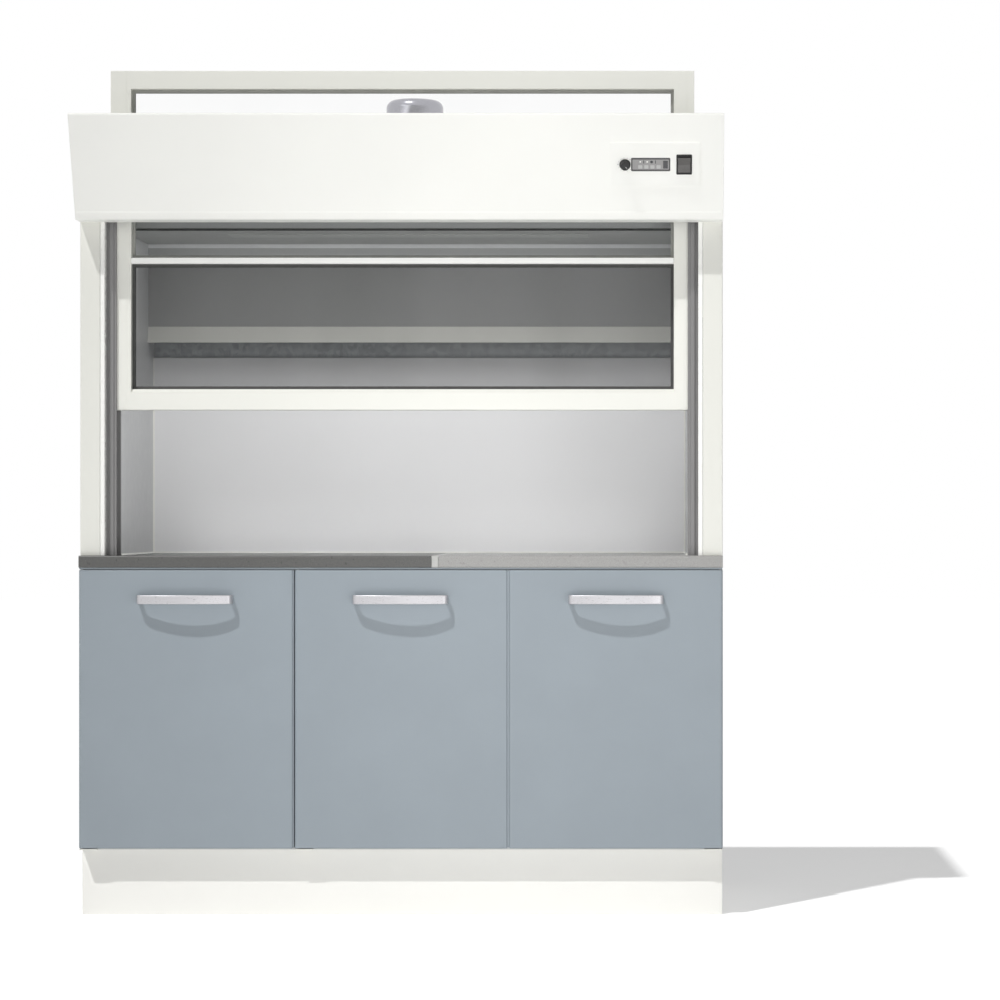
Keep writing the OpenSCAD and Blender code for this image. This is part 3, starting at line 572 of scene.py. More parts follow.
@dataclass(frozen=True)
class Mineral(Finish):
    """Cast mineral worktop: crushed grains of two tints in a matrix, rubbed to a satin.

    Attributes:
        dark: the colour of the dark grains.
        light: the colour of the light grains.
        grains: how many grains lie along a metre.
        roughness: its mean roughness.
    """

    dark: Colour = (0.05, 0.05, 0.05)
    light: Colour = (0.5, 0.5, 0.5)
    grains: float = 900.0
    roughness: float = 0.32

    def draw(self, graph: Graph) -> None:
        """Fill the node tree."""
        grain = graph.cells(self.grains)
        graph.tint(grain, [(0.10, self.dark), (0.26, self.colour), (0.74, self.colour),
                           (0.90, self.light)])
        graph.rough(graph.noise(60.0, 3.0), self.roughness - 0.06, self.roughness + 0.08)
        graph.bump(grain, 0.00002, 0.35)


@dataclass(frozen=True)
class DrawnMetal(Finish):
    """Metal with a grain along one axis: brushed, drawn or anodised.

    Attributes:
        roughness: its mean roughness.
        stretch: the grain's fineness on each axis, one across it and less along it.
        metallic: how metallic it is, less than one under a lacquer.
        grain: the depth of the grain in metres.
        streak: how much lighter and darker the streaks are.
    """

    roughness: float = 0.34
    stretch: Vector = (0.03, 1.0, 1.0)
    metallic: float = 1.0
    grain: float = 0.00002
    streak: float = 0.07

    def draw(self, graph: Graph) -> None:
        """Fill the node tree."""
        lines = graph.noise(1100.0, 3.0, self.stretch, 0.65)
        graph.value(Metallic=self.metallic)
        graph.tint(lines, [(0.3, shade(self.colour, 1 - self.streak)),
                           (0.7, shade(self.colour, 1 + self.streak))])
        graph.rough(lines, self.roughness - 0.07, self.roughness + 0.07)
        graph.bump(lines, self.grain, 0.6)


@dataclass(frozen=True)
class Galvanised(Finish):
    """Zinc-coated sheet with its leafy spangle.

    Attributes:
        spangle: how many leaves lie along a metre.
    """

    spangle: float = 90.0

    def draw(self, graph: Graph) -> None:
        """Fill the node tree."""
        leaf = graph.cells(self.spangle)
        graph.value(Metallic=1.0)
        graph.tint(leaf, [(0.1, shade(self.colour, 0.78)), (0.9, shade(self.colour, 1.08))])
        graph.rough(leaf, 0.34, 0.52, (0.0, 1.0))
        graph.bump(graph.noise(250.0, 2.0), 0.00003, 0.4)


@dataclass(frozen=True)
class CastMetal(Finish):
    """Cast metal under a thin coat, rough with small pits, which are drawn darker as painted shade.

    Attributes:
        roughness: its mean roughness.
    """

    roughness: float = 0.55

    def draw(self, graph: Graph) -> None:
        """Fill the node tree."""
        pits = graph.noise(420.0, 4.0, rough=0.7)
        graph.value(Metallic=0.85)
        # The pits are darker: painted shade in the recesses.
        graph.tint(pits, [(0.32, shade(self.colour, 0.6)), (0.6, self.colour)])
        graph.rough(pits, self.roughness + 0.1, self.roughness - 0.1)
        graph.bump(pits, 0.00025, 0.7)


@dataclass(frozen=True)
class Plastic(Finish):
    """Moulded plastic with a fine eroded grain.

    Attributes:
        roughness: its mean roughness.
        grain: the height of the grain in metres.
        fine: how many grains lie along a metre.
    """

    roughness: float = 0.45
    grain: float = 0.00004
    fine: float = 1500.0

    def draw(self, graph: Graph) -> None:
        """Fill the node tree."""
        skin = graph.noise(self.fine, 2.0)
        graph.tint(graph.noise(25.0), [(0.3, shade(self.colour, 0.93)),
                                       (0.7, shade(self.colour, 1.05))])
        graph.rough(skin, self.roughness - 0.05, self.roughness + 0.07)
        graph.bump(skin, self.grain, 0.6)


@dataclass(frozen=True)
class Rubber(Finish):
    """Extruded rubber: matt, with a bloom along its run."""

    def draw(self, graph: Graph) -> None:
        """Fill the node tree."""
        bloom = graph.noise(90.0, 3.0)
        graph.tint(bloom, [(0.35, self.colour), (0.75, shade(self.colour, 1.7))])
        graph.rough(bloom, 0.62, 0.8)
        graph.bump(graph.noise(1800.0, 1.0), 0.00003, 0.5)


@dataclass(frozen=True)
class Glazing(Finish):
    """A flat pane that lets a share of the light through without bending it.

    Attributes:
        cover: the share that the pane holds back when looked at squarely.
        smear: how much more it holds back where it has been wiped.
    """

    cover: float = 0.12
    smear: float = 0.02

    def draw(self, graph: Graph) -> None:
        """Fill the node tree."""
        graph.value(Roughness=0.06, IOR=1.5)
        edge = graph.tree.nodes.new("ShaderNodeLayerWeight")
        edge.inputs["Blend"].default_value = 0.22
        wiped = graph.spread(graph.noise(5.0, 4.0, (1.0, 1.0, 0.25)), self.cover - self.smear,
                             self.cover + self.smear)
        total = graph.tree.nodes.new("ShaderNodeMath")
        total.operation = "MAXIMUM"
        graph.tree.links.new(wiped, total.inputs[0])
        graph.tree.links.new(edge.outputs["Fresnel"], total.inputs[1])
        graph.link(total.outputs[0], "Alpha")


@dataclass(frozen=True)
class Film(Finish):
    """Printed film over a panel: smooth, with a very fine matt lacquer.

    Attributes:
        roughness: its mean roughness.
    """

    roughness: float = 0.36

    def draw(self, graph: Graph) -> None:
        """Fill the node tree."""
        graph.tint(graph.noise(12.0), [(0.3, shade(self.colour, 0.97)), (0.7, self.colour)])
        graph.rough(graph.noise(300.0), self.roughness - 0.04, self.roughness + 0.05)
        graph.bump(graph.noise(2500.0, 1.0), 0.00001, 0.5)


@dataclass(frozen=True)
class Opal(Finish):
    """Milky cover of a lamp, prismatic on its face."""

    def draw(self, graph: Graph) -> None:
        """Fill the node tree."""
        graph.value(Roughness=0.4, Subsurface_Weight=0.3, Subsurface_Radius=(0.01, 0.01, 0.01))
        ribs = graph.tree.nodes.new("ShaderNodeTexWave")
        ribs.inputs["Scale"].default_value = 60.0
        graph.tree.links.new(graph.place, ribs.inputs["Vector"])
        graph.bump(ribs.outputs["Fac"], 0.0004, 0.5)


@dataclass(frozen=True)
class PleatedPaper(Finish):
    """Filter paper folded into narrow pleats across the hood; the folds are darkened as painted shade.
    """

    def draw(self, graph: Graph) -> None:
        """Fill the node tree."""
        pleats = graph.tree.nodes.new("ShaderNodeTexWave")
        pleats.inputs["Scale"].default_value = 40.0
        graph.tree.links.new(graph.place, pleats.inputs["Vector"])
        # The folds are darker: painted shade in the creases between the pleats.
        graph.tint(pleats.outputs["Fac"], [(0.0, shade(self.colour, 0.55)),
                                           (0.5, self.colour)])
        graph.value(Roughness=0.9)
        graph.bump(pleats.outputs["Fac"], 0.004, 0.8)


PAINT = PowderCoat("white powder paint", "white_paint", srgb(250, 250, 245))
# The next finish is the white paint darkened: painted shade on the posts, on the door pivot plates and
# on the lip strip.
SHADED_POST_PAINT = PowderCoat("white paint with painted post shade", "white_paint", srgb(229, 229, 222))
PLINTH = Laminate("plinth laminate", "plinth_board", srgb(246, 245, 240), mottle=0.01)
DOOR = Laminate("blue-grey door laminate", "door_front", srgb(145, 154, 161), mottle=0.025)
CARCASS = Laminate("light grey board", "carcass_board", srgb(205, 207, 207), mottle=0.015)
TOP_DARK = Mineral("dark mineral top", "worktop_dark", srgb(86, 86, 84),
                   dark=srgb(70, 70, 69), light=srgb(102, 102, 100))
TOP_LIGHT = Mineral("light mineral top", "worktop_light", srgb(155, 154, 152),
                    dark=srgb(139, 138, 135), light=srgb(171, 170, 168))
STRIP = Plastic("worktop joint strip", "joint_seal", srgb(182, 182, 179), roughness=0.35)
JOINT = Plastic("light joint strip", "joint_seal", srgb(202, 202, 199), roughness=0.35)
LINER = PowderCoat("chamber liner", "liner", srgb(247, 247, 248), roughness=0.36)
# The next two finishes are the chamber liner darkened, as painted shade: lightly on the side linings
# and the ceiling angle, deeply on the baffle and the ceiling.
SHADED_SIDE_LINER = PowderCoat("side liner with painted shade", "liner", srgb(211, 212, 213), roughness=0.36)
DEEP_SHADED_LINER = PowderCoat("chamber liner with painted deep shade", "liner", srgb(164, 165, 164), roughness=0.4)
ZINC = Galvanised("galvanised sheet", "galvanised", srgb(178, 182, 184))
GUIDE = DrawnMetal("dark guide profile", "guide_profile", srgb(128, 127, 127), 0.5,
                   (1.0, 1.0, 0.02), 0.25)
# The next two finishes are the white paint of one sash profile: darkened on the frame and covers as
# painted shade, and lightened on the transom as painted light against the canopy's shadow.
SHADED_SASH_PAINT = PowderCoat("sash paint with painted shade", "sash_profile", srgb(235, 235, 228), roughness=0.34)
LIT_TRANSOM_PAINT = PowderCoat("transom paint with painted light", "sash_profile", srgb(254, 254, 251),
                 roughness=0.34)
PANE = Glazing("clear pane", "clear_glass", srgb(190, 198, 196), cover=0.03, smear=0.008)
SMOKE = Glazing("smoke pane", "smoke_glass", srgb(40, 41, 42), cover=0.32)
SEAL = Rubber("glazing seal", "seal_rubber", srgb(56, 56, 55))
# The next finish is the dark seal made pale for the upper gasket, as painted light.
LIT_PALE_SEAL = Plastic("glazing seal with painted light", "seal_rubber", srgb(160, 160, 155), 0.6)
BOW = DrawnMetal("satin bow handle", "handle_metal", srgb(190, 189, 192), 0.32,
                 (0.02, 1.0, 1.0), 0.5, 0.000001, 0.012)
COWL = DrawnMetal("satin cowl metal", "cowl_metal", srgb(174, 174, 180), 0.2, (1, 1, 0.05),
                  1.0, 0.000003, 0.02)
CABLE = DrawnMetal("steel cable", "plated_steel", srgb(176, 176, 174), 0.35, (1, 1, 1))
PLATED = DrawnMetal("plated steel", "plated_steel", srgb(190, 190, 186), 0.28, (1, 1, 1))
BLACK = Plastic("black plastic", "dark_plastic", srgb(18, 18, 19), roughness=0.5)
GREY = Plastic("grey plastic", "grey_plastic", srgb(120, 122, 124))
SLIDE = Plastic("slider plastic", "slide_plastic", srgb(58, 58, 60), roughness=0.3)
KEYS = Film("key film", "key_film", srgb(150, 149, 148))
BORDER = Film("dark border film", "key_film", srgb(62, 61, 61))
TRIM = PowderCoat("white trim strip", "white_paint", srgb(250, 250, 246), roughness=0.3)
KEYPAD = Film("key pad film", "key_film", srgb(184, 184, 183))
WINDOW = Film("dark window film", "key_film", srgb(38, 40, 43), roughness=0.15)
ROCKER = Plastic("dark rocker plastic", "dark_plastic", srgb(88, 86, 84), roughness=0.3)
PANEL = Film("panel film", "panel_film", srgb(249, 249, 244))
OPAL = Opal("opal lamp cover", "opal_cover", srgb(180, 182, 180))
PAPER = PleatedPaper("pleated filter paper", "filter_media", srgb(232, 230, 220))
MOTOR = CastMetal("cast motor body", "motor_metal", srgb(92, 96, 99))
IRON = CastMetal("cast counterweight", "weight_steel", srgb(84, 84, 86), roughness=0.65)


def dressed(piece: bpy.types.Object, finish: Finish, body: str = "root",
            replaces: Sequence[str] = ()) -> bpy.types.Object:
    """Give a new piece its finish, its body and the CAD nodes that it stands for.

    Args:
        piece: the new object.
        finish: its finish.
        body: the CAD body that it moves with.
        replaces: the CAD nodes that it stands for.

    Returns:
        The same object.
    """
    piece.data.materials.clear()
    piece.data.materials.append(finish.material())
    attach(piece, body)
    if replaces:
        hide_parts(*replaces)
    log.info("%s rides on %s", piece.name, body)
    return piece


def kept(node: bpy.types.Object, finish: Finish, edge_r: float = 0.0) -> None:
    """Finish a CAD node as it is: its own finish, and its sharp edges eased.

    Args:
        node: the CAD node's object.
        finish: its finish.
        edge_r: the width of the eased edges, or nought to leave them.
    """
    if not node.material_slots:
        node.data.materials.append(finish.material())
    for part in node.material_slots:
        part.material = finish.material()
    if edge_r:
        weld = node.modifiers.new("closed", "WELD")
        weld.merge_threshold = 1e-5
        ease = node.modifiers.new("eased edges", "BEVEL")
        ease.width = edge_r
        ease.segments = 2
        ease.limit_method = "ANGLE"
        ease.angle_limit = math.radians(40)
        ease.harden_normals = True
    log.info("%s keeps its CAD shape", node.name)


# Sub-assemblies: each class holds its own sizes and builds and dresses its pieces


@dataclass(frozen=True)
class Datum:
    """Planes that more than one sub-assembly is set out from."""

    half_w: float = 0.750
    plinth_top_z: float = 0.155
    cabinet_top_z: float = 0.813
    worktop_z: float = 0.841
    ceiling_z: float = 1.610
    head_z: float = 1.854
    inner_x: float = 0.669
    post_x: float = 0.693
    post_y: float = -0.2425
    post_back_y: float = -0.1475
    rear_y: float = 0.3675
    cabinet_back_y: float = 0.3975
    sheet: float = 0.002


HOOD = Datum()


def screws(places: np.ndarray, direction: Vector, head_r: float = 0.004) -> list[Shell]:
    """Make pan-head screws with a round recess.

    Args:
        places: where each head sits, one row each.
        direction: the way that the heads point.
        head_r: the radius of a head.

    Returns:
        One shell for each screw.
    """
    rise = head_r * 0.5
    profile = [(0.0, 0.0), (head_r, 0.0), (head_r, rise * 0.35), (head_r * 0.86, rise * 0.75),
               (head_r * 0.6, rise), (head_r * 0.42, rise), (head_r * 0.34, rise * 0.3),
               (0.0, rise * 0.3)]
    return [turned_form(profile, place, direction, sides=16) for place in places]


def row(start: Sequence[float], end: Sequence[float], count: int) -> np.ndarray:
    """Return places spaced evenly from a start to an end, both taken in."""
    return np.linspace(np.asarray(start, dtype=float), np.asarray(end, dtype=float), count)


@dataclass
class BaseCabinet:
    """Plinth and carcass of the base cabinet, with the strips in the gaps of the doors.

    Attributes:
        slim_w: the width of the gap strip beside the middle door's hinged edge.
        wide_w: the width of the other gap strip.
        drip_h: how far the drip strip hangs below the worktop.
    """

    board_t: float = 0.018
    band_r: float = 0.001
    plinth_y: float = -0.2175
    plinth_half_w: float = 0.7497
    plinth_r: float = 0.0012
    carcass_y: float = -0.241
    back_board_t: float = 0.008
    module_x: float = 0.250
    side_in: float = 0.0006
    strip_y: float = -0.2616
    strip_r: float = 0.0004
    strip_in: float = 0.006
    slim_w: float = 0.0028
    wide_w: float = 0.0044
    drip_h: float = 0.0038
    drip_t: float = 0.004
    cap_r: float = 0.006
    cap_ys: tuple[float, ...] = (-0.19, 0.08, 0.35)
    cap_zs: tuple[float, ...] = (0.185, 0.783)

    def plinth(self) -> None:
        """Four plinth boards, butted at the corners with a hairline joint."""
        x, t, r = self.plinth_half_w, self.board_t, self.plinth_r
        top, back = HOOD.plinth_top_z, HOOD.cabinet_back_y
        shells = [
            board((-x, self.plinth_y, 0.0), (x, self.plinth_y + t, top), r, Axis.X),
            board((-x + 0.001, back - t, 0.0), (x - 0.001, back, top), r, Axis.X)]
        for side in (-1, 1):
            outer, inner = side * x, side * (x - t)
            shells.append(board((min(outer, inner), self.plinth_y + t + 0.0003, 0.0),
                                (max(outer, inner), back - t - 0.0003, top), r, Axis.Y))
        dressed(mesh_piece("plinth_boards", shells), PLINTH, replaces=["plinth"])

    def uprights(self) -> None:
        """Two end boards and two partitions with edge bands, set out from the modules."""
        t, x = self.board_t, HOOD.half_w
        front, back = self.carcass_y, HOOD.cabinet_back_y
        low, high = HOOD.plinth_top_z, HOOD.cabinet_top_z
        shells = [
            board((x - t, front, low), (x - self.side_in, back, high), self.band_r),
            board((self.module_x - t / 2, front, low + t),
                  (self.module_x + t / 2, back - self.back_board_t, high - t), self.band_r)]
        shells += [shell.mirrored() for shell in shells]
        dressed(mesh_piece("carcass_uprights", shells), CARCASS, replaces=["cabinet_uprights"])

    def gap_strips(self) -> None:
        """An upright strip in each gap between two doors, just behind their faces.

        Beside the hinged edge of the middle door the strip is slimmer, so that the door's
        rounded edge has room to turn.
        """
        low_z, high_z = HOOD.plinth_top_z + self.strip_in, HOOD.cabinet_top_z - self.strip_in
        shells = []
        for centre, width in ((-self.module_x, self.slim_w), (self.module_x, self.wide_w)):
            low = centre - self.wide_w / 2
            shells.append(board((low, self.strip_y, low_z), (low + width, self.carcass_y, high_z),
                                self.strip_r))
        dressed(mesh_piece("door_gap_strips", shells), DOOR)

    def head_strip(self) -> None:
        """A drip strip under the worktop that closes most of the gap over the doors."""
        high = HOOD.cabinet_top_z
        shell = board((-HOOD.half_w + 0.001, self.strip_y, high - self.drip_h),
                      (HOOD.half_w - 0.001, self.strip_y + self.drip_t, high), self.strip_r,
                      Axis.X)
        dressed(mesh_piece("worktop_drip_strip", [shell]), DOOR)

    def caps(self) -> None:
        """Cover caps over the fittings in the two end boards."""
        profile = [(0.0, 0.0), (self.cap_r, 0.0), (self.cap_r, 0.0004),
                   (self.cap_r * 0.8, 0.0009), (0.0, 0.0011)]
        shells = []
        for side in (-1.0, 1.0):
            for y in self.cap_ys:
                for z in self.cap_zs:
                    place = (side * (HOOD.half_w - 0.0012), y, z)
                    shells.append(turned_form(profile, place, (side, 0, 0), sides=24))
        dressed(mesh_piece("carcass_caps", shells), GREY)

    def carcass(self, nodes: dict[str, bpy.types.Object]) -> None:
        """Finish the boards and fittings that keep their CAD shape."""
        for name in ("cabinet_bottom", "cabinet_rails", "cabinet_back", "shelves"):
            kept(nodes[name], CARCASS, 0.0006)
        kept(nodes["levelling_feet"], BLACK, 0.0008)
        kept(nodes["shelf_pins"], PLATED, 0.0004)
        # The pivot plates take the darkened white paint, as painted shade.
        kept(nodes["door_pivots"], SHADED_POST_PAINT, 0.0004)
        kept(nodes["door_catches"], BLACK, 0.0008)

    def build(self, nodes: dict[str, bpy.types.Object]) -> None:
        """Build the plinth, the uprights, the strips and the caps, and finish the carcass."""
        self.plinth()
        self.uprights()
        self.gap_strips()
        self.head_strip()
        self.caps()
        self.carcass(nodes)


@dataclass
class Door:
    """One door with its bow handle and the strike plate of its catch.

    Attributes:
        side: left, middle or right.
        low_x: the door's left edge.
        high_x: the door's right edge.
        catch_x: the middle of its catch, near the free edge.
        hinged_r: the radius of the front edge beside the hinges.
        free_r: the radius of the front edge that opens.
        bow_out: how far the handle's middle stands out from the door.
        bow_leg: how far its two straight ends do.
    """

    side: str
    low_x: float
    high_x: float
    catch_x: float
    front_y: float = -0.2625
    back_y: float = -0.2435
    low_z: float = 0.159
    high_z: float = 0.808
    hinged_r: float = 0.006
    free_r: float = 0.0025
    back_r: float = 0.001
    bow_len: float = 0.221
    bow_out: float = 0.043
    bow_leg: float = 0.020
    bow_bend_r: float = 0.012
    bow_z: float = 0.739
    bow_h: float = 0.021
    bow_t: float = 0.005
    strike_half_w: float = 0.018
    strike_low_z: float = 0.779
    strike_high_z: float = 0.799
    strike_t: float = 0.0002

    def leaf(self) -> None:
        """The door's board, whose hinged edge is rounder so that it clears the next door."""
        corners = [(self.low_x, self.front_y), (self.high_x, self.front_y),
                   (self.high_x, self.back_y), (self.low_x, self.back_y)]
        face = [self.hinged_r, self.free_r]
        if self.catch_x - self.low_x < self.high_x - self.catch_x:
            face.reverse()
        radii = [*face, self.back_r, self.back_r]
        shell = carried(corners, radii, (self.low_z, self.high_z), Axis.Z, 0.0025, 6)
        dressed(mesh_piece(f"{self.side}_door_leaf", [shell]), DOOR, f"{self.side}_door",
                [f"door_{self.side}"])

    def strike(self) -> None:
        """The thin steel plate on the back that the magnet holds."""
        half, back = self.strike_half_w, self.back_y
        shell = board((self.catch_x - half, back, self.strike_low_z),
                      (self.catch_x + half, back + self.strike_t, self.strike_high_z),
                      self.strike_t / 2, Axis.Y, 1)
        dressed(mesh_piece(f"{self.side}_strike_plate", [shell]), PLATED, f"{self.side}_door")

    def handle(self) -> None:
        """The bow: a rounded band along two straight ends, two bends and a shallow arc.

        The outline of the band's outside and that of its inside have the same number of
        points, and each point of the section lies at its own share of the way between.
        """
        t = self.bow_t
        rise = self.bow_out - self.bow_leg
        sides = []
        for inset in (0.0, t):
            half = crowned(self.bow_len / 2, self.bow_leg, rise, self.bow_bend_r, inset, 14)
            half = np.concatenate([[(self.bow_len / 2 - inset, 0.0)], half])
            sides.append(np.concatenate([half * (-1, 1), half[-2::-1]]))
        outside, inside = sides
        flat = outline(np.array([(-t / 2, -self.bow_h / 2), (t / 2, -self.bow_h / 2),
                                 (t / 2, self.bow_h / 2), (-t / 2, self.bow_h / 2)]),
                       np.full(4, t * 0.42), 0.0, 5)
        share = (0.5 - flat[:, 0] / t)[None, :, None]
        place = outside[:, None] * (1 - share) + inside[:, None] * share
        rings = np.empty((len(outside), len(flat), 3))
        rings[..., 0] = (self.low_x + self.high_x) / 2 + place[..., 0]
        rings[..., 1] = self.front_y - place[..., 1]
        rings[..., 2] = self.bow_z + flat[None, :, 1]
        dressed(mesh_piece(f"{self.side}_bow_handle", [shell_of(rings)]), BOW,
                f"{self.side}_door", [f"handle_{self.side}"])

    def build(self) -> None:
        """Build the leaf, the strike plate and the handle."""
        self.leaf()
        self.strike()
        self.handle()


@dataclass
class Worktop:
    """The worktop: a dark and a light section with a light strip between them."""

    front_y: float = -0.2665
    back_y: float = 0.4125
    joint_low_x: float = 0.072
    joint_high_x: float = 0.087
    nose_r: float = 0.004
    under_r: float = 0.003
    hairline: float = 0.0003

    def section(self, name: str, low_x: float, high_x: float, finish: Finish) -> None:
        """One section with a rounded nose, set a hairline off its neighbours.

        Args:
            name: the CAD node that it stands for.
            low_x: its left end.
            high_x: its right end.
            finish: its finish.
        """
        bottom, top = HOOD.cabinet_top_z, HOOD.worktop_z
        corners = [(self.front_y, bottom), (self.back_y, bottom),
                   (self.back_y, top), (self.front_y, top)]
        radii = [self.under_r, 0.001, 0.002, self.nose_r]
        shell = carried(corners, radii, (low_x, high_x), Axis.X, 0.0008)
        dressed(mesh_piece(f"{name}_slab", [shell]), finish, replaces=[name])

    def build(self) -> None:
        """Build the three sections."""
        edge, gap = HOOD.half_w, self.hairline
        self.section("worktop_left", -edge, self.joint_low_x - gap, TOP_DARK)
        self.section("worktop_joint", self.joint_low_x, self.joint_high_x, STRIP)
        self.section("worktop_right", self.joint_high_x + gap, edge, TOP_LIGHT)


@dataclass
class SideColumn:
    """One front post with its trim strip and the stepped guide that the sash runs in.

    Attributes:
        side: left or right.
    """

    side: str
    trim_w: float = 0.0102
    groove: float = 0.0006
    guide_low_y: float = -0.2225
    guide_high_y: float = -0.1505
    slot_low_y: float = -0.2125
    slot_high_y: float = -0.1605
    web: float = 0.003
    step: float = 0.006
    nose: float = 0.003
    guide_top_z: float = 1.850
    window_low_y: float = -0.1934
    window_high_y: float = -0.1796
    window_low_z: float = 1.764
    window_high_z: float = 1.806

    def sided(self, shells: list[Shell]) -> list[Shell]:
        """Return the shells on this column's side of the hood."""
        return shells if self.side == "right" else [shell.mirrored() for shell in shells]

    def post(self) -> None:
        """A bent sheet post, open inside for the counterweight, and a narrow trim strip."""
        t, edge = HOOD.sheet, HOOD.half_w
        front, back = HOOD.post_y, HOOD.post_back_y
        start = HOOD.post_x + self.trim_w + self.groove
        span = (HOOD.worktop_z, HOOD.head_z - t)
        wrap = [(start, front), (edge, front), (edge, back), (HOOD.post_x, back),
                (HOOD.post_x, self.window_high_y), (HOOD.post_x + t, self.window_high_y),
                (HOOD.post_x + t, back - t), (edge - t, back - t), (edge - t, front + t),
                (start, front + t)]
        radii = [0.0008, 0.003, 0.003, 0.003, 0.0005, 0.0005, 0.001, 0.001, 0.001, 0.0008]
        shells = [carried(wrap, radii, span, Axis.Z, 0.0004)]
        strip = [(HOOD.post_x, front), (HOOD.post_x + self.trim_w, front),
                 (HOOD.post_x + self.trim_w, front + t), (HOOD.post_x + t, front + t),
                 (HOOD.post_x + t, self.window_low_y), (HOOD.post_x, self.window_low_y)]
        trim = [carried(strip, [0.0015, 0.0008, 0.0005, 0.0008, 0.0005, 0.0005], span, Axis.Z,
                        0.0004)]
        for low_z, high_z in ((span[0], self.window_low_z), (self.window_high_z, span[1])):
            shells.append(board((HOOD.post_x, self.window_low_y, low_z),
                                (HOOD.post_x + t, self.window_high_y, high_z), 0.0002))
        shells.append(board((HOOD.post_x, front, HOOD.head_z - t), (edge, back, HOOD.head_z),
                            0.0008))
        # The post sheet takes the darkened white paint, as painted shade.
        dressed(mesh_piece(f"{self.side}_post_sheet", self.sided(shells)), SHADED_POST_PAINT,
                replaces=[f"post_{self.side}"])
        dressed(mesh_piece(f"{self.side}_post_trim", self.sided(trim)), TRIM)

    def guide(self) -> None:
        """The stepped channel, with the pulley's window through its web."""
        inner, outer = HOOD.inner_x, HOOD.post_x
        face = (outer - inner) / 3
        front = [(inner, self.guide_low_y + self.nose),
                 (inner + face * 0.75, self.guide_low_y + self.nose),
                 (inner + face * 0.75, self.guide_low_y), (outer - face, self.guide_low_y),
                 (outer - face, self.guide_low_y + self.step),
                 (outer, self.guide_low_y + self.step)]
        rear = [(outer, self.guide_high_y), (inner, self.guide_high_y),
                (inner, self.slot_high_y), (outer - self.web, self.slot_high_y)]
        nose = [(outer - self.web, self.slot_low_y), (inner, self.slot_low_y)]
        whole = front + rear + nose
        ahead = front + [(outer, self.window_low_y), (outer - self.web, self.window_low_y)] + nose
        behind = rear + [(outer - self.web, self.window_high_y), (outer, self.window_high_y)]
        shells = [carried(whole, 0.0005, (HOOD.worktop_z, self.window_low_z), Axis.Z),
                  carried(whole, 0.0005, (self.window_high_z, self.guide_top_z), Axis.Z)]
        window = (self.window_low_z, self.window_high_z)
        shells += [carried(ahead, 0.0005, window, Axis.Z),
                   carried(behind, 0.0005, window, Axis.Z)]
        dressed(mesh_piece(f"{self.side}_guide_profile", self.sided(shells), 30.0), GUIDE,
                replaces=[f"guide_{self.side}"])

    def build(self) -> None:
        """Build the post and the guide."""
        self.post()
        self.guide()


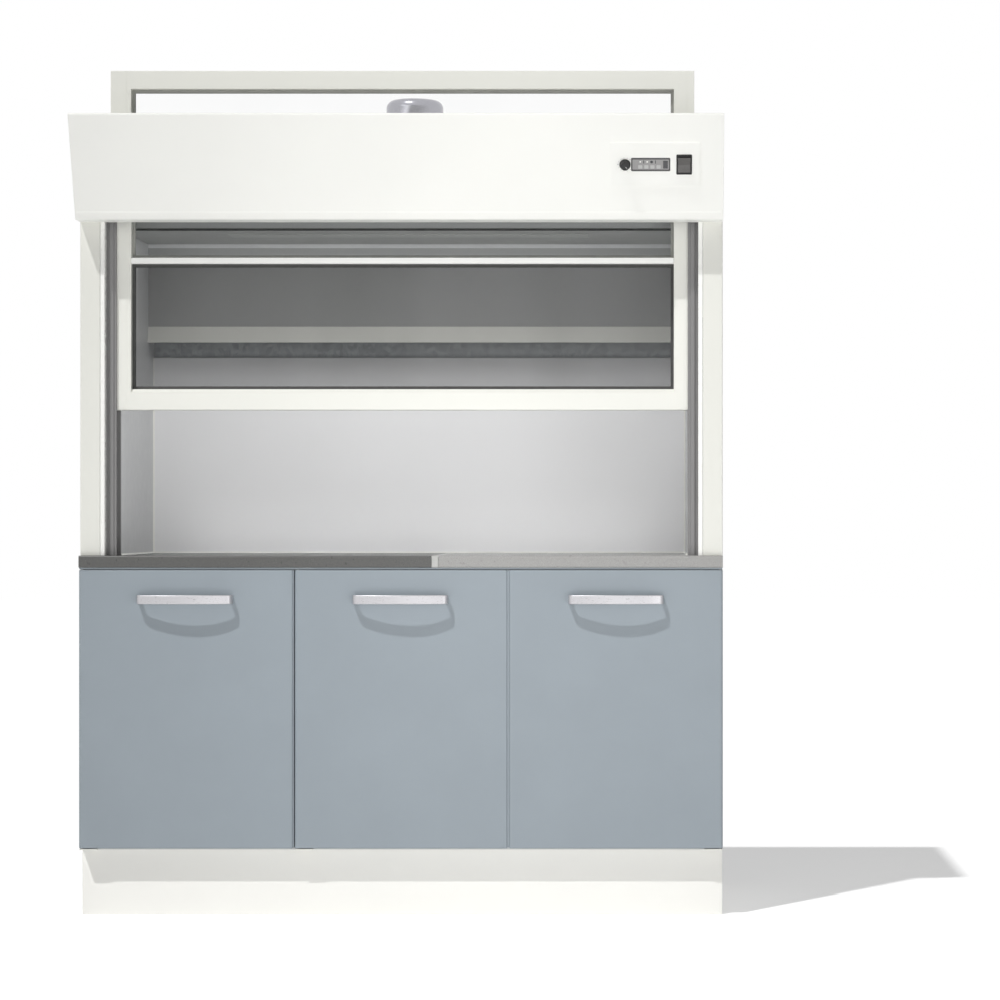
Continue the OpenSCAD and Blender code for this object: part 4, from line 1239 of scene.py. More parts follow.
@dataclass
class Chamber:
    """The lining of the work chamber, its baffle, its ceiling, the lamp and the filter."""

    rear_wall_y: float = 0.3475
    rear_wall_t: float = 0.004
    rear_wall_top_z: float = 1.332
    baffle_y: float = 0.2685
    baffle_t: float = 0.003
    lip_z: float = 1.365
    lip_h: float = 0.040
    lip_out: float = 0.012
    strip_t: float = 0.0012
    fold_y: float = -0.1475
    wiper_h: float = 0.003
    cornice_w: float = 0.009
    lining_low_y: float = -0.1505
    bead: float = 0.004
    screw_x: float = 0.6
    screw_z: float = 1.580

    def across(self, section: Corners, radii: float | Sequence[float]) -> Shell:
        """Carry a section in (y, z) from one side lining to the other."""
        return carried(section, radii, (-HOOD.inner_x, HOOD.inner_x), Axis.X)

    def linings(self) -> None:
        """The two side linings, with their edges eased."""
        t, x = HOOD.sheet, HOOD.inner_x
        shells = [board((x, self.lining_low_y, HOOD.worktop_z),
                        (x + t, HOOD.rear_y, HOOD.ceiling_z), 0.0006)]
        shells += [shell.mirrored() for shell in shells]
        # The side linings take the liner darkened, as painted shade.
        dressed(mesh_piece("side_linings", shells), SHADED_SIDE_LINER, replaces=["chamber_linings"])

    def rear_wall(self) -> None:
        """The rear wall, with its folded upper edge rounded."""
        y, t = self.rear_wall_y, self.rear_wall_t
        corners = [(y, HOOD.worktop_z), (y + t, HOOD.worktop_z),
                   (y + t, self.rear_wall_top_z), (y, self.rear_wall_top_z)]
        shell = self.across(corners, [0.0003, 0.0003, 0.0019, 0.0019])
        dressed(mesh_piece("rear_wall_sheet", [shell]), LINER, replaces=["back_wall"])

    def sealant(self) -> None:
        """A coved bead of sealant where the walls meet the worktop and each other."""
        x, y, z, b = HOOD.inner_x, self.rear_wall_y, HOOD.worktop_z, self.bead
        curve = arc((1.0, 1.0), 1.0, 180, 270, 6)
        cove = np.concatenate([[(0.0, 0.0)], curve[::-1]]) * b
        back = np.stack([y - cove[:, 0], z + cove[:, 1]], 1)[::-1]
        shells = [self.across(back, 0.0)]
        side = np.stack([z + cove[:, 1], x - cove[:, 0]], 1)
        run = carried(side, 0.0, (self.lining_low_y, y), Axis.Y)
        up = np.stack([x - cove[:, 0], y - cove[:, 1]], 1)
        corner = carried(up, 0.0, (z, self.rear_wall_top_z), Axis.Z)
        shells += [run, run.mirrored(), corner, corner.mirrored()]
        dressed(mesh_piece("sealant_beads", shells), PAINT)

    def baffle(self) -> None:
        """The upper baffle, whose lower edge is bent forward over the slot."""
        y, t, z = self.baffle_y, self.baffle_t, self.lip_z
        bend_z = z + self.lip_h
        corners = [(y, HOOD.ceiling_z), (y, bend_z), (y - self.lip_out, z),
                   (y - self.lip_out + t, z), (y + t, bend_z - t / 4), (y + t, HOOD.ceiling_z)]
        shell = self.across(corners, [0.0, 0.006, 0.0012, 0.0012, 0.009, 0.0])
        # The baffle takes the liner darkened further, as painted shade.
        dressed(mesh_piece("baffle_sheet", [shell]), DEEP_SHADED_LINER, replaces=["baffle"])
        heads = row((-self.screw_x, y, self.screw_z), (self.screw_x, y, self.screw_z), 5)
        dressed(mesh_piece("baffle_screws", screws(heads, (0, -1, 0))), PLATED)

    def lip_painted_light(self) -> None:
        """A pale strip laid over the front of the baffle's lip: painted light, where the lip catches
        the light.
        """
        y, z, t = self.baffle_y, self.lip_z, self.strip_t
        corners = np.array([(y, z + self.lip_h), (y - self.lip_out, z)])
        along = corners[0] - corners[1]
        out = np.array([-along[1], along[0]]) / np.hypot(*along) * t
        face = [corners[1], corners[0], corners[0] + out, corners[1] + out]
        dressed(mesh_piece("lip_painted_light_strip", [self.across(face, 0.0003)]), SHADED_POST_PAINT)

    def wiper(self) -> None:
        """A slim rubber wiper under the ceiling's front fold, towards the sash."""
        y, z, h = self.fold_y, HOOD.ceiling_z, self.wiper_h
        section = [(y - 0.006, z - h), (y - 0.004, z - h), (y, z - 0.0005), (y, z + h),
                   (y - 0.002, z + h)]
        dressed(mesh_piece("sash_wiper", [self.across(section, 0.0004)]), SEAL)

    def cornice(self) -> None:
        """A pale angle that covers the joint between the ceiling and the baffle."""
        y, z, w, t = self.baffle_y, HOOD.ceiling_z, self.cornice_w, self.strip_t
        section = [(y - w, z - t), (y - t, z - t), (y - t, z - w), (y, z - w), (y, z),
                   (y - w, z)]
        # The angle takes the liner darkened, as painted shade.
        dressed(mesh_piece("ceiling_angle", [self.across(section, 0.0003)]), SHADED_SIDE_LINER)

    def build(self, nodes: dict[str, bpy.types.Object]) -> None:
        """Build the walls, the baffle and the strips, and finish the ceiling with its lamp."""
        self.linings()
        self.rear_wall()
        self.sealant()
        self.baffle()
        self.lip_painted_light()
        self.wiper()
        self.cornice()
        # The ceiling takes the liner darkened further, as painted shade.
        kept(nodes["ceiling"], DEEP_SHADED_LINER, 0.0004)
        kept(nodes["lamp_housing"], PAINT, 0.0008)
        kept(nodes["lamp_diffuser"], OPAL, 0.0008)
        kept(nodes["filter"], PAPER, 0.0008)


def framed(half_w: float, half_h: float, corner_r: float,
           section: Sequence[tuple[float, float]], steps: int = 4) -> Shell:
    """Run a section round a rectangle with rounded corners, as a frame or a gasket.

    A point (inset, height) of the section lies on the rectangle drawn in by the inset, at
    that height over its plane.

    Args:
        half_w: half the rectangle's width.
        half_h: half its height.
        corner_r: the radius of its corners.
        section: from the foot of the outer side, over the face, to the foot of the inner.
        steps: how many pieces each corner has.

    Returns:
        The closed shell, flat on the local XY plane.
    """
    corners = np.array([(-half_w, -half_h), (half_w, -half_h), (half_w, half_h),
                        (-half_w, half_h)])
    loops = [outline(corners, np.full(4, corner_r), inset, steps) for inset, _ in section]
    rings = np.empty((len(section) + 1, len(loops[0]), 3))
    rings[:-1, :, :2] = np.stack(loops)
    rings[:-1, :, 2] = np.array([height for _, height in section])[:, None]
    rings[-1] = rings[0]
    return shell_of(rings, capped=False)


ORIGIN = (0.0, 0.0, 0.0)
FACING_FRONT = np.array([[1.0, 0.0, 0.0], [0.0, 0.0, -1.0], [0.0, 1.0, 0.0]])
FACING_BACK = np.array([[-1.0, 0.0, 0.0], [0.0, 0.0, 1.0], [0.0, 1.0, 0.0]])


@dataclass
class Enclosure:
    """Outer side panels, rear cover and roof, with the spigot and the cable gland."""

    spigot_x: float = 0.065
    outlet_z: float = 1.745
    spigot_r: float = 0.0625
    spigot_front_y: float = 0.3315
    spigot_back_y: float = 0.4125
    gland_x: float = 0.500
    gland_r: float = 0.009
    gland_bore_r: float = 0.0045
    screw_in: float = 0.012
    side_in: float = 0.0008
    rib_x: float = 0.36
    rib_z: float = 1.24
    rib_half_w: float = 0.30
    rib_half_h: float = 0.34
    rib_r: float = 0.03

    def sides(self) -> None:
        """The two outer panels, and the screws along their edges."""
        t, x = HOOD.sheet, HOOD.half_w - self.side_in
        top = HOOD.head_z - t
        shells = [board((x - t, HOOD.post_back_y + 0.0006, HOOD.worktop_z),
                        (x, HOOD.rear_y + t, top), 0.0007)]
        shells += [shell.mirrored() for shell in shells]
        dressed(mesh_piece("outer_side_panels", shells), PAINT, replaces=["outer_sides"])
        heads = []
        for y in (HOOD.post_back_y + self.screw_in, HOOD.rear_y - self.screw_in):
            heads += screws(row((x - 0.001, y, HOOD.worktop_z + 0.05),
                                (x - 0.001, y, top - 0.05), 5), (1, 0, 0), 0.0035)
        heads += [head.mirrored() for head in heads]
        dressed(mesh_piece("side_panel_screws", heads), PLATED)

    def rear(self, nodes: dict[str, bpy.types.Object]) -> None:
        """The rear cover with its screws and two pressed ribs."""
        kept(nodes["rear_cover"], ZINC, 0.0003)
        x, y = HOOD.half_w - 0.002 - self.screw_in, HOOD.rear_y + HOOD.sheet
        low, high = HOOD.worktop_z + self.screw_in, HOOD.head_z - 0.002 - self.screw_in
        heads = screws(np.concatenate([row((-x, y, low), (x, y, low), 7),
                                       row((-x, y, high), (x, y, high), 7),
                                       row((-x, y, low + 0.16), (-x, y, high - 0.16), 5),
                                       row((x, y, low + 0.16), (x, y, high - 0.16), 5)]),
                       (0, 1, 0))
        dressed(mesh_piece("rear_cover_screws", heads), PLATED)
        section = [(0.0, 0.0), (0.003, 0.0016), (0.006, 0.002), (0.009, 0.0016), (0.012, 0.0)]
        ribs = []
        for centre in (-self.rib_x, self.rib_x):
            rib = framed(self.rib_half_w, self.rib_half_h, self.rib_r, section, 8)
            ribs.append(rib.turned(FACING_BACK, (centre, y, self.rib_z)))
        dressed(mesh_piece("rear_cover_ribs", ribs), ZINC)

    def roof(self, nodes: dict[str, bpy.types.Object]) -> None:
        """The roof sheet and its screws."""
        kept(nodes["roof_panel"], PAINT, 0.0003)
        x, z = HOOD.half_w - self.screw_in, HOOD.head_z
        front, back = HOOD.post_back_y + self.screw_in, HOOD.rear_y - self.screw_in
        heads = screws(np.concatenate([row((-x, back, z), (x, back, z), 7),
                                       row((-x, front, z), (-x, back - 0.12, z), 3),
                                       row((x, front, z), (x, back - 0.12, z), 3)]), (0, 0, 1))
        dressed(mesh_piece("roof_screws", heads), PLATED)

    def spigot(self) -> None:
        """The outlet: a neck, a stop bead on the cover and a wider end with a rolled rim."""
        r, neck, t = self.spigot_r, self.spigot_r - 0.002, 0.002
        end = self.spigot_back_y - self.spigot_front_y
        bead = HOOD.rear_y + t - self.spigot_front_y
        profile = [(neck - t, 0.0), (neck, 0.0), (neck, bead), (r + 0.0012, bead),
                   (r + 0.002, bead + 0.0006), (r + 0.002, bead + 0.0014),
                   (r + 0.0012, bead + 0.002), (neck, bead + 0.002), (neck, bead + 0.0034),
                   (r - 0.0004, bead + 0.004), (r, bead + 0.0046), (r, end - 0.001),
                   (r - 0.0006, end), (r - 0.0014, end), (r - t, end - 0.001),
                   (r - t, bead + 0.0066), (neck - t, bead + 0.0056), (neck - t, 0.0)]
        shell = turned_form(profile, (self.spigot_x, self.spigot_front_y, self.outlet_z),
                            (0, 1, 0), 96)
        dressed(mesh_piece("outlet_collar", [shell]), ZINC, replaces=["outlet_spigot"])

    def gland(self) -> None:
        """The cable gland: a locknut inside, a hexagon outside and a domed pressing nut."""
        base = (self.gland_x, HOOD.rear_y + HOOD.sheet, self.outlet_z)
        r, bore, hexagon = self.gland_r, self.gland_bore_r, self.gland_r * 1.4
        body = [(bore, -0.010), (r, -0.010), (r, 0.016), (r * 1.12, 0.0165), (r * 1.12, 0.0225),
                (r * 0.9, 0.024), (bore, 0.024), (bore, -0.010)]
        nut = [(r * 0.98, 0.0), (hexagon, 0.0), (hexagon, 0.0072), (hexagon * 0.93, 0.008),
               (r * 0.98, 0.008), (r * 0.98, 0.0)]
        shells = [turned_form(body, base, (0, 1, 0), 48), turned_form(nut, base, (0, 1, 0), 6)]
        dressed(mesh_piece("cable_gland_body", shells), BLACK, replaces=["cable_gland"])

    def build(self, nodes: dict[str, bpy.types.Object]) -> None:
        """Build the panels, the rear cover, the roof, the spigot and the gland."""
        self.sides()
        self.rear(nodes)
        self.roof(nodes)
        self.spigot()
        self.gland()


@dataclass
class Slope:
    """The leaning face of the canopy, and places on it."""

    foot_y: float = -0.3085
    foot_z: float = 1.619
    head_y: float = -0.4125

    def matrix(self) -> np.ndarray:
        """Return the axes across, up the slope and outwards, as columns."""
        lean = math.atan2(self.foot_y - self.head_y, HOOD.head_z - self.foot_z)
        return np.array([[1.0, 0.0, 0.0],
                         [0.0, -math.sin(lean), -math.cos(lean)],
                         [0.0, math.cos(lean), -math.sin(lean)]])

    def place(self, x: float, up: float, out: float = 0.0) -> np.ndarray:
        """Return the point at a place across, a height up the slope and a rise from it."""
        return self.matrix() @ np.array([0.0, up, out]) + (x, self.foot_y, self.foot_z)

    def laid(self, shell: Shell, x: float, up: float) -> Shell:
        """Lay a shell that was made flat on the XY plane onto the slope."""
        return shell.turned(self.matrix(), self.place(x, up))


@dataclass
class Canopy:
    """The folded sheet canopy with its leaning fascia, its two cheeks and its back sheet."""

    slope: Slope
    fold_r: float = 0.004
    hem_low: float = 0.010
    hem_w: float = 0.009
    tongue_y: float = -0.2145

    def shell(self) -> None:
        """The fascia with its two returns, the cheeks at its ends and the tongue on top.

        The folded sheet's outline runs along its outside and back along its inside, one
        sheet's thickness away, and is carried across the hood between the cheeks.
        """
        s, t, back = self.slope, HOOD.sheet, HOOD.post_y
        outer = np.array([(s.foot_y, s.foot_z), (back, s.foot_z), (back, HOOD.head_z),
                          (s.head_y, HOOD.head_z)])
        low, _, _, high = outline(outer, np.zeros(4), t, 1)[::2]
        fold = [outer[0], (back, s.foot_z), (back, s.foot_z + t), low, high,
                (back, HOOD.head_z - t), (back, HOOD.head_z), outer[3]]
        radii = [self.fold_r, 0.0006, 0.0006, self.fold_r - t, self.fold_r - t, 0.0006,
                 0.0006, self.fold_r]
        inside = HOOD.half_w - t
        sheet = carried(fold, radii, (-inside, inside), Axis.X, 0.0, 6)
        cheek = carried(outer, [self.fold_r, 0.0006, 0.0006, self.fold_r],
                        (inside, HOOD.half_w), Axis.X, (0.0, 0.0014), 6)
        tongue = board((-HOOD.post_x, back - 0.0005, HOOD.head_z - t),
                       (HOOD.post_x, self.tongue_y, HOOD.head_z), 0.0006, Axis.X)
        dressed(mesh_piece("canopy_sheet", [sheet, cheek, cheek.mirrored(), tongue]), PAINT,
                replaces=["canopy_shell"])

    def back(self) -> None:
        """The sheet that closes the canopy at the back."""
        t = HOOD.sheet
        x = HOOD.half_w - t
        sheet = board((-x, HOOD.post_y - t, self.slope.foot_z + t),
                      (x, HOOD.post_y, HOOD.head_z - t), 0.0006, Axis.X)
        dressed(mesh_piece("canopy_back_sheet", [sheet]), ZINC, replaces=["canopy_back"])

    def hem(self) -> None:
        """A narrow folded hem that runs along the foot of the fascia."""
        w = HOOD.half_w - 0.004
        strip = board((-w, 0.0, -0.0004), (w, self.hem_w, 0.0006), 0.0005, Axis.X)
        dressed(mesh_piece("canopy_hem", [self.slope.laid(strip, 0.0, self.hem_low)]), PAINT)

    def build(self) -> None:
        """Build the canopy's body, its back and its hem."""
        self.shell()
        self.back()
        self.hem()


@dataclass
class Controls:
    """The control plate on the fascia: knob, key strip and rocker switch."""

    slope: Slope
    centre_x: float = 0.592
    centre_up: float = 0.134
    plate_w: float = 0.207
    plate_h: float = 0.106
    plate_t: float = 0.002
    knob_x: float = -0.069
    knob_r: float = 0.013
    knob_h: float = 0.016
    knob_gap: float = 0.0003
    knob_stop: float = 315.0
    flutes: int = 30
    flute_deep: float = 0.00035
    tick_r: float = 0.0146
    tick_w: float = 0.0008
    long_tick: float = 0.0034
    short_tick: float = 0.0022
    strip_x: float = -0.010
    strip_w: float = 0.090
    strip_h: float = 0.032
    strip_t: float = 0.001
    pad_size: tuple[float, float] = (0.0095, 0.0085)
    pad_up: float = -0.0055
    pad_xs: tuple[float, ...] = (-0.024, -0.010, 0.004, 0.018)
    led_size: tuple[float, float] = (0.0034, 0.0034)
    led_up: float = 0.0065
    led_xs: tuple[float, ...] = (-0.024, -0.008)
    bar_size: tuple[float, float] = (0.0016, 0.0075)
    bar_xs: tuple[float, ...] = (-0.016, 0.011)
    sensor_size: tuple[float, float] = (0.0068, 0.0068)
    sensor_x: float = 0.002
    sensor_up: float = 0.0062
    window_size: tuple[float, float] = (0.011, 0.019)
    window_x: float = 0.034
    switch_x: float = 0.067
    switch_w: float = 0.036
    switch_h: float = 0.048
    switch_d: float = 0.022
    rim: float = 0.003
    rocker_tip: float = 7.0

    def laid(self, shell: Shell, x: float = 0.0, up: float = 0.0) -> Shell:
        """Lay a flat shell on the plate, at a place from the plate's middle."""
        return self.slope.laid(shell, self.centre_x + x, self.centre_up + up)

    def slab(self, size: tuple[float, float], middle: tuple[float, float], low: float,
             high: float, corner_r: float) -> Shell:
        """Lay a thin slab with rounded corners on the plate.

        Args:
            size: its width and height.
            middle: its middle, from the plate's middle.
            low: its underside over the fascia.
            high: its face over the fascia.
            corner_r: the radius of its corners.

        Returns:
            The closed shell.
        """
        w, h = size[0] / 2, size[1] / 2
        rim = min((high - low) * 0.45, 0.0006)
        flat = carried([(-w, -h), (w, -h), (w, h), (-w, h)], corner_r, (low, high), Axis.Z,
                       (0.0, rim))
        return self.laid(flat, *middle)

    def plate(self) -> None:
        """The plate, with a film let in that leaves a narrow border."""
        t = self.plate_t
        base = self.slab((self.plate_w, self.plate_h), (0, 0), 0.0, t - 0.0002, 0.004)
        dressed(mesh_piece("control_plate_base", [base]), PAINT, replaces=["control_plate"])
        film = self.slab((self.plate_w - 0.006, self.plate_h - 0.006), (0, 0), t - 0.0004, t,
                         0.003)
        dressed(mesh_piece("control_plate_film", [film]), PANEL)

    def scale(self) -> None:
        """Eleven tick marks round the knob, longer at the two ends and in the middle."""
        marks = []
        start, half = self.tick_r, self.tick_w / 2
        angles = np.linspace(self.knob_stop, 360 - self.knob_stop, 11)
        for number, angle in enumerate(np.radians(angles)):
            end = start + (self.long_tick if number % 5 == 0 else self.short_tick)
            mark = carried([(start, -half), (end, -half), (end, half), (start, half)], 0.0002,
                           (self.plate_t - 0.0001, self.plate_t + 0.0001), Axis.Z)
            marks.append(self.laid(mark.turned(spun(angle, Axis.Z), ORIGIN), self.knob_x))
        dressed(mesh_piece("knob_scale", marks), GREY)

    def knob(self) -> None:
        """The knob: a skirt, a fluted grip and a dished cap with a pointer.

        The grip's radius is the profile's radius plus a small cosine of so many waves a turn
        as there are flutes. The profile's third value is the share of the wave.
        """
        r, h = self.knob_r, self.knob_h
        foot = self.plate_t + self.knob_gap
        profile = np.array([(0.0, 0.0, 0), (r - 0.0006, 0.0, 0), (r - 0.0001, 0.0005, 0),
                            (r - 0.0001, 0.0026, 0), (r - 0.0006, 0.0032, 0),
                            (r - 0.0018, 0.0034, 0), (r - 0.0021, 0.0040, 1),
                            (r - 0.0024, h - 0.0022, 1), (r - 0.0032, h - 0.0007, 0.4),
                            (r - 0.0045, h - 0.0001, 0), (r - 0.0060, h, 0),
                            (r - 0.0070, h - 0.0004, 0), (0.0, h - 0.0006, 0)])
        angle = np.linspace(0, 2 * math.pi, 180, endpoint=False)
        wave = np.cos(self.flutes * angle)[None] - 1
        radius = profile[:, :1] + profile[:, 2:] * self.flute_deep * wave
        radius[(0, -1), :] = 0.0
        rings = np.stack([radius * np.cos(angle), radius * np.sin(angle),
                          np.broadcast_to(profile[:, 1:2] + foot, radius.shape)], axis=-1)
        grip = self.laid(shell_of(rings), self.knob_x)
        dressed(mesh_piece("speed_knob_grip", [grip], 25.0), BLACK, "speed_knob", ["knob"])
        start, end, half = 0.0018, r - 0.0062, 0.0006
        line = carried([(start, -half), (end, -half), (end, half), (start, half)], 0.0003,
                       (foot + h - 0.0009, foot + h - 0.0001), Axis.Z)
        turn = spun(math.radians(self.knob_stop), Axis.Z)
        pointer = self.laid(line.turned(turn, ORIGIN), self.knob_x)
        dressed(mesh_piece("speed_knob_pointer", [pointer]), JOINT, "speed_knob")

    def keys(self) -> None:
        """The key strip: a dark border, a grey field, keys, small lamps and a dark window."""
        low, centre = self.plate_t, self.strip_x
        base = self.slab((self.strip_w, self.strip_h), (centre, 0), low,
                         low + self.strip_t * 0.6, 0.0025)
        dressed(mesh_piece("key_strip_border", [base]), BORDER, replaces=["key_strip"])
        under = low + self.strip_t * 0.6 - 0.0001
        face = low + self.strip_t * 0.8
        field = self.slab((self.strip_w - 0.006, self.strip_h - 0.008), (centre, 0), under, face,
                          0.0018)
        dressed(mesh_piece("key_strip_field", [field]), KEYS)
        under, top = face - 0.0001, low + self.strip_t
        pads = [self.slab(self.pad_size, (centre + x, self.pad_up), under, top, 0.0015)
                for x in self.pad_xs]
        dressed(mesh_piece("key_pads", pads), KEYPAD)
        lamps = [self.slab(self.led_size, (centre + x, self.led_up), under, top, 0.0015)
                 for x in self.led_xs]
        dressed(mesh_piece("key_lamps", lamps), PANEL)
        sensor = self.slab(self.sensor_size, (centre + self.sensor_x, self.sensor_up), under, top,
                           0.0032)
        bars = [self.slab(self.bar_size, (centre + x, self.sensor_up), under, top, 0.0004)
                for x in self.bar_xs]
        window = self.slab(self.window_size, (centre + self.window_x, 0.0), under, top, 0.0012)
        dressed(mesh_piece("key_window", [sensor, window, *bars]), WINDOW)

    def switch(self) -> None:
        """The switch's bezel, the floor of its well and the box behind the fascia."""
        w, h, t = self.switch_w / 2, self.switch_h / 2, self.plate_t
        section = [(0.0, t), (0.0, t + 0.0010), (0.0004, t + 0.0017), (0.0010, t + 0.0020),
                   (self.rim - 0.0006, t + 0.0020), (self.rim, t + 0.0014), (self.rim, t)]
        bezel = self.laid(framed(w, h, 0.0025, section), self.switch_x)
        floor = self.slab((self.switch_w - 0.001, self.switch_h - 0.001), (self.switch_x, 0),
                          t - 0.0003, t + 0.0003, 0.002)
        behind = self.slab((self.switch_w - 0.004, self.switch_h - 0.004), (self.switch_x, 0),
                           -self.switch_d, -0.0024, 0.001)
        dressed(mesh_piece("switch_bezel", [bezel, floor, behind]), BLACK,
                replaces=["switch_body"])

    def rocker(self) -> None:
        """The rocker: two faces that meet in a shallow valley, tipped one way.

        The side outline is a valley of five points. It is carried across the well and
        then tipped about the switch's middle.
        """
        half_h = (self.switch_h - 2 * self.rim) / 2 - 0.0026
        half_w = (self.switch_w - 2 * self.rim) / 2 - 0.0004
        low, valley, peak = 0.0030, 0.0040, 0.0066
        side = [(half_h, low + 0.0022), (half_h, peak), (half_h * 0.5, valley + 0.0008),
                (0.0, valley), (-half_h * 0.5, valley + 0.0008), (-half_h, peak),
                (-half_h, low + 0.0022), (-half_h * 0.4, low), (half_h * 0.4, low)]
        radii = [0.0008, 0.0008, 0.004, 0.004, 0.004, 0.0008, 0.0008, 0.001, 0.001]
        flat = carried(side, radii, (-half_w, half_w), Axis.X, 0.0007)
        tip = spun(math.radians(self.rocker_tip), Axis.X)
        paddle = self.laid(flat.turned(tip, ORIGIN), self.switch_x)
        dressed(mesh_piece("switch_rocker", [paddle]), ROCKER, "lamp_switch", ["rocker"])

    def build(self, nodes: dict[str, bpy.types.Object]) -> None:
        """Build everything on the plate, and finish the box behind it."""
        self.plate()
        self.scale()
        self.knob()
        self.keys()
        self.switch()
        self.rocker()
        kept(nodes["control_box"], GREY, 0.0006)


@dataclass
class Sash:
    """The vertical sash: a mitred frame, a transom, two panes and their seals."""

    outer_x: float = 0.684
    inner_x: float = 0.636
    front_y: float = -0.2115
    back_y: float = -0.1615
    foot_z: float = 1.182
    lower_pane_z: float = 1.231
    transom_low_z: float = 1.525
    transom_high_z: float = 1.539
    upper_pane_top_z: float = 1.934
    head_z: float = 1.977
    arris_r: float = 0.0015
    bevel: float = 0.008
    cover_in: float = 0.011
    cover_w: float = 0.021
    cover_t: float = 0.0005
    pane_t: float = 0.006
    pane_in: float = 0.006
    seal_w: float = 0.007
    seal_t: float = 0.005
    lug_x: float = 0.6897
    lug_h: float = 0.040
    pad_low_x: float = 0.671
    pad_high_x: float = 0.683
    pad_t: float = 0.0007
    pad_h: float = 0.050
    pad_ups: tuple[float, ...] = (0.018, 0.265)

    @property
    def middle_y(self) -> float:
        """The plane in the middle of the panes."""
        return (self.front_y + self.back_y) / 2

    def frame(self) -> Shell:
        """The mitred frame, as loops that run round it with the arrises rounded.

        Each loop is given by how far it lies in from the outer side of the stiles, of the
        bottom rail and of the top rail, and by its place in depth. On the bottom rail, the
        loops at the front of the opening lie lower and make its bevel.
        """
        r, bevel, front, back = self.arris_r, self.bevel, self.front_y, self.back_y
        stile, foot = self.outer_x - self.inner_x, self.lower_pane_z - self.foot_z
        head = self.head_z - self.upper_pane_top_z
        turn = np.radians(np.linspace(0, 90, 4))
        out, along = r * (1 - np.cos(turn)), r * (1 - np.sin(turn))
        loops = [(o, o, o, front + a) for o, a in zip(out, along)]
        loops += [(stile - o, foot - bevel, head - o, front + a)
                  for o, a in zip(out[::-1], along[::-1])]
        loops += [(stile, foot, head, front + bevel)]
        loops += [(stile - o, foot - o, head - o, back - a) for o, a in zip(out, along)]
        loops += [(o, o, o, back - a) for o, a in zip(out[::-1], along[::-1])]
        rings = []
        for side, low, high, y in loops + loops[:1]:
            x, z0, z1 = self.outer_x - side, self.foot_z + low, self.head_z - high
            rings.append([(-x, y, z0), (x, y, z0), (x, y, z1), (-x, y, z1)])
        return shell_of(np.array(rings), capped=False)

    def lugs(self) -> list[Shell]:
        """A lug for the cable on the foot of each stile."""
        y = self.middle_y
        lug = board((self.outer_x - 0.0005, y - 0.003, self.foot_z),
                    (self.lug_x, y + 0.003, self.foot_z + self.lug_h), 0.0006)
        return [lug, lug.mirrored()]

    def covers(self) -> None:
        """A flat cover strip along the face of each stile, beside the guide."""
        low, high = self.inner_x + self.cover_in, self.inner_x + self.cover_in + self.cover_w
        strip = board((low, self.front_y - self.cover_t, self.foot_z + 0.003),
                      (high, self.front_y + 0.0002, self.head_z - 0.003), 0.0002)
        # The covers take the darkened sash paint, as painted shade.
        dressed(mesh_piece("stile_covers", [strip, strip.mirrored()]), SHADED_SASH_PAINT, "sash")

    def transom(self) -> None:
        """The narrow bar between the panes."""
        bar = board((-self.inner_x, self.front_y, self.transom_low_z),
                    (self.inner_x, self.back_y, self.transom_high_z), 0.0012, Axis.X)
        # The transom takes the lightened sash paint, as painted light.
        dressed(mesh_piece("sash_transom_bar", [bar]), LIT_TRANSOM_PAINT, "sash", ["sash_transom"])

    def panes(self) -> None:
        """A smoke-tinted lower pane and a clear upper one, let into the profiles."""
        x, y, t = self.inner_x + self.pane_in, self.middle_y, self.pane_t / 2
        overlap = self.pane_in / 2
        lower = board((-x, y - t, self.lower_pane_z - self.pane_in),
                      (x, y + t, self.transom_low_z + overlap), 0.0006, Axis.X, 2)
        upper = board((-x, y - t, self.transom_high_z - overlap),
                      (x, y + t, self.upper_pane_top_z + self.pane_in), 0.0006, Axis.X, 2)
        dressed(mesh_piece("lower_pane", [lower]), SMOKE, "sash", ["glass_lower"])
        dressed(mesh_piece("upper_pane", [upper]), PANE, "sash", ["glass_upper"])

    def gasket(self, name: str, low: float, high: float, w: float, finish: Finish) -> None:
        """A gasket round one pane, on both its faces, that slopes down to a soft lip.

        Args:
            name: the piece's name.
            low: the foot of the opening.
            high: its head.
            w: how wide the gasket shows.
            finish: its finish.
        """
        t, flat, middle = self.seal_t, self.pane_t / 2, (low + high) / 2
        section = [(0.0, 0.0), (0.0, t * 0.86), (0.0006, t), (w * 0.45, t * 0.92),
                   (w * 0.85, t * 0.45), (w, t * 0.12), (w, 0.0)]
        ring = framed(self.inner_x, (high - low) / 2, 0.0015, section)
        shells = [ring.turned(FACING_FRONT, (0.0, self.middle_y - flat, middle)),
                  ring.turned(FACING_BACK, (0.0, self.middle_y + flat, middle))]
        dressed(mesh_piece(name, shells), finish, "sash", ["glazing_seals"])

    def pads(self) -> None:
        """Thin pads on the front and the back of each stile that run in the guides."""
        shells = []
        for low in (self.foot_z + up for up in self.pad_ups):
            for y in (self.front_y - self.pad_t, self.back_y - 0.0002):
                shells.append(board((self.pad_low_x, y, low),
                                    (self.pad_high_x, y + self.pad_t + 0.0002,
                                     low + self.pad_h), 0.0002, Axis.Z, 2))
        shells += [shell.mirrored() for shell in shells]
        dressed(mesh_piece("sash_running_pads", shells), SLIDE, "sash", ["sash_sliders"])

    def build(self) -> None:
        """Build the frame, its covers, the transom, the panes, the seals and the pads."""
        # The frame takes the darkened sash paint, as painted shade.
        dressed(mesh_piece("sash_profiles", [self.frame(), *self.lugs()]), SHADED_SASH_PAINT, "sash",
                ["sash_frame"])
        self.covers()
        self.transom()
        self.panes()
        self.gasket("lower_gasket", self.lower_pane_z, self.transom_low_z, self.seal_w, SEAL)
        # The upper gasket is the pale copy of the seal, as painted light; the lower one keeps the dark
        # seal.
        self.gasket("upper_gasket", self.transom_high_z, self.upper_pane_top_z,
                    self.seal_w, LIT_PALE_SEAL)
        self.pads()


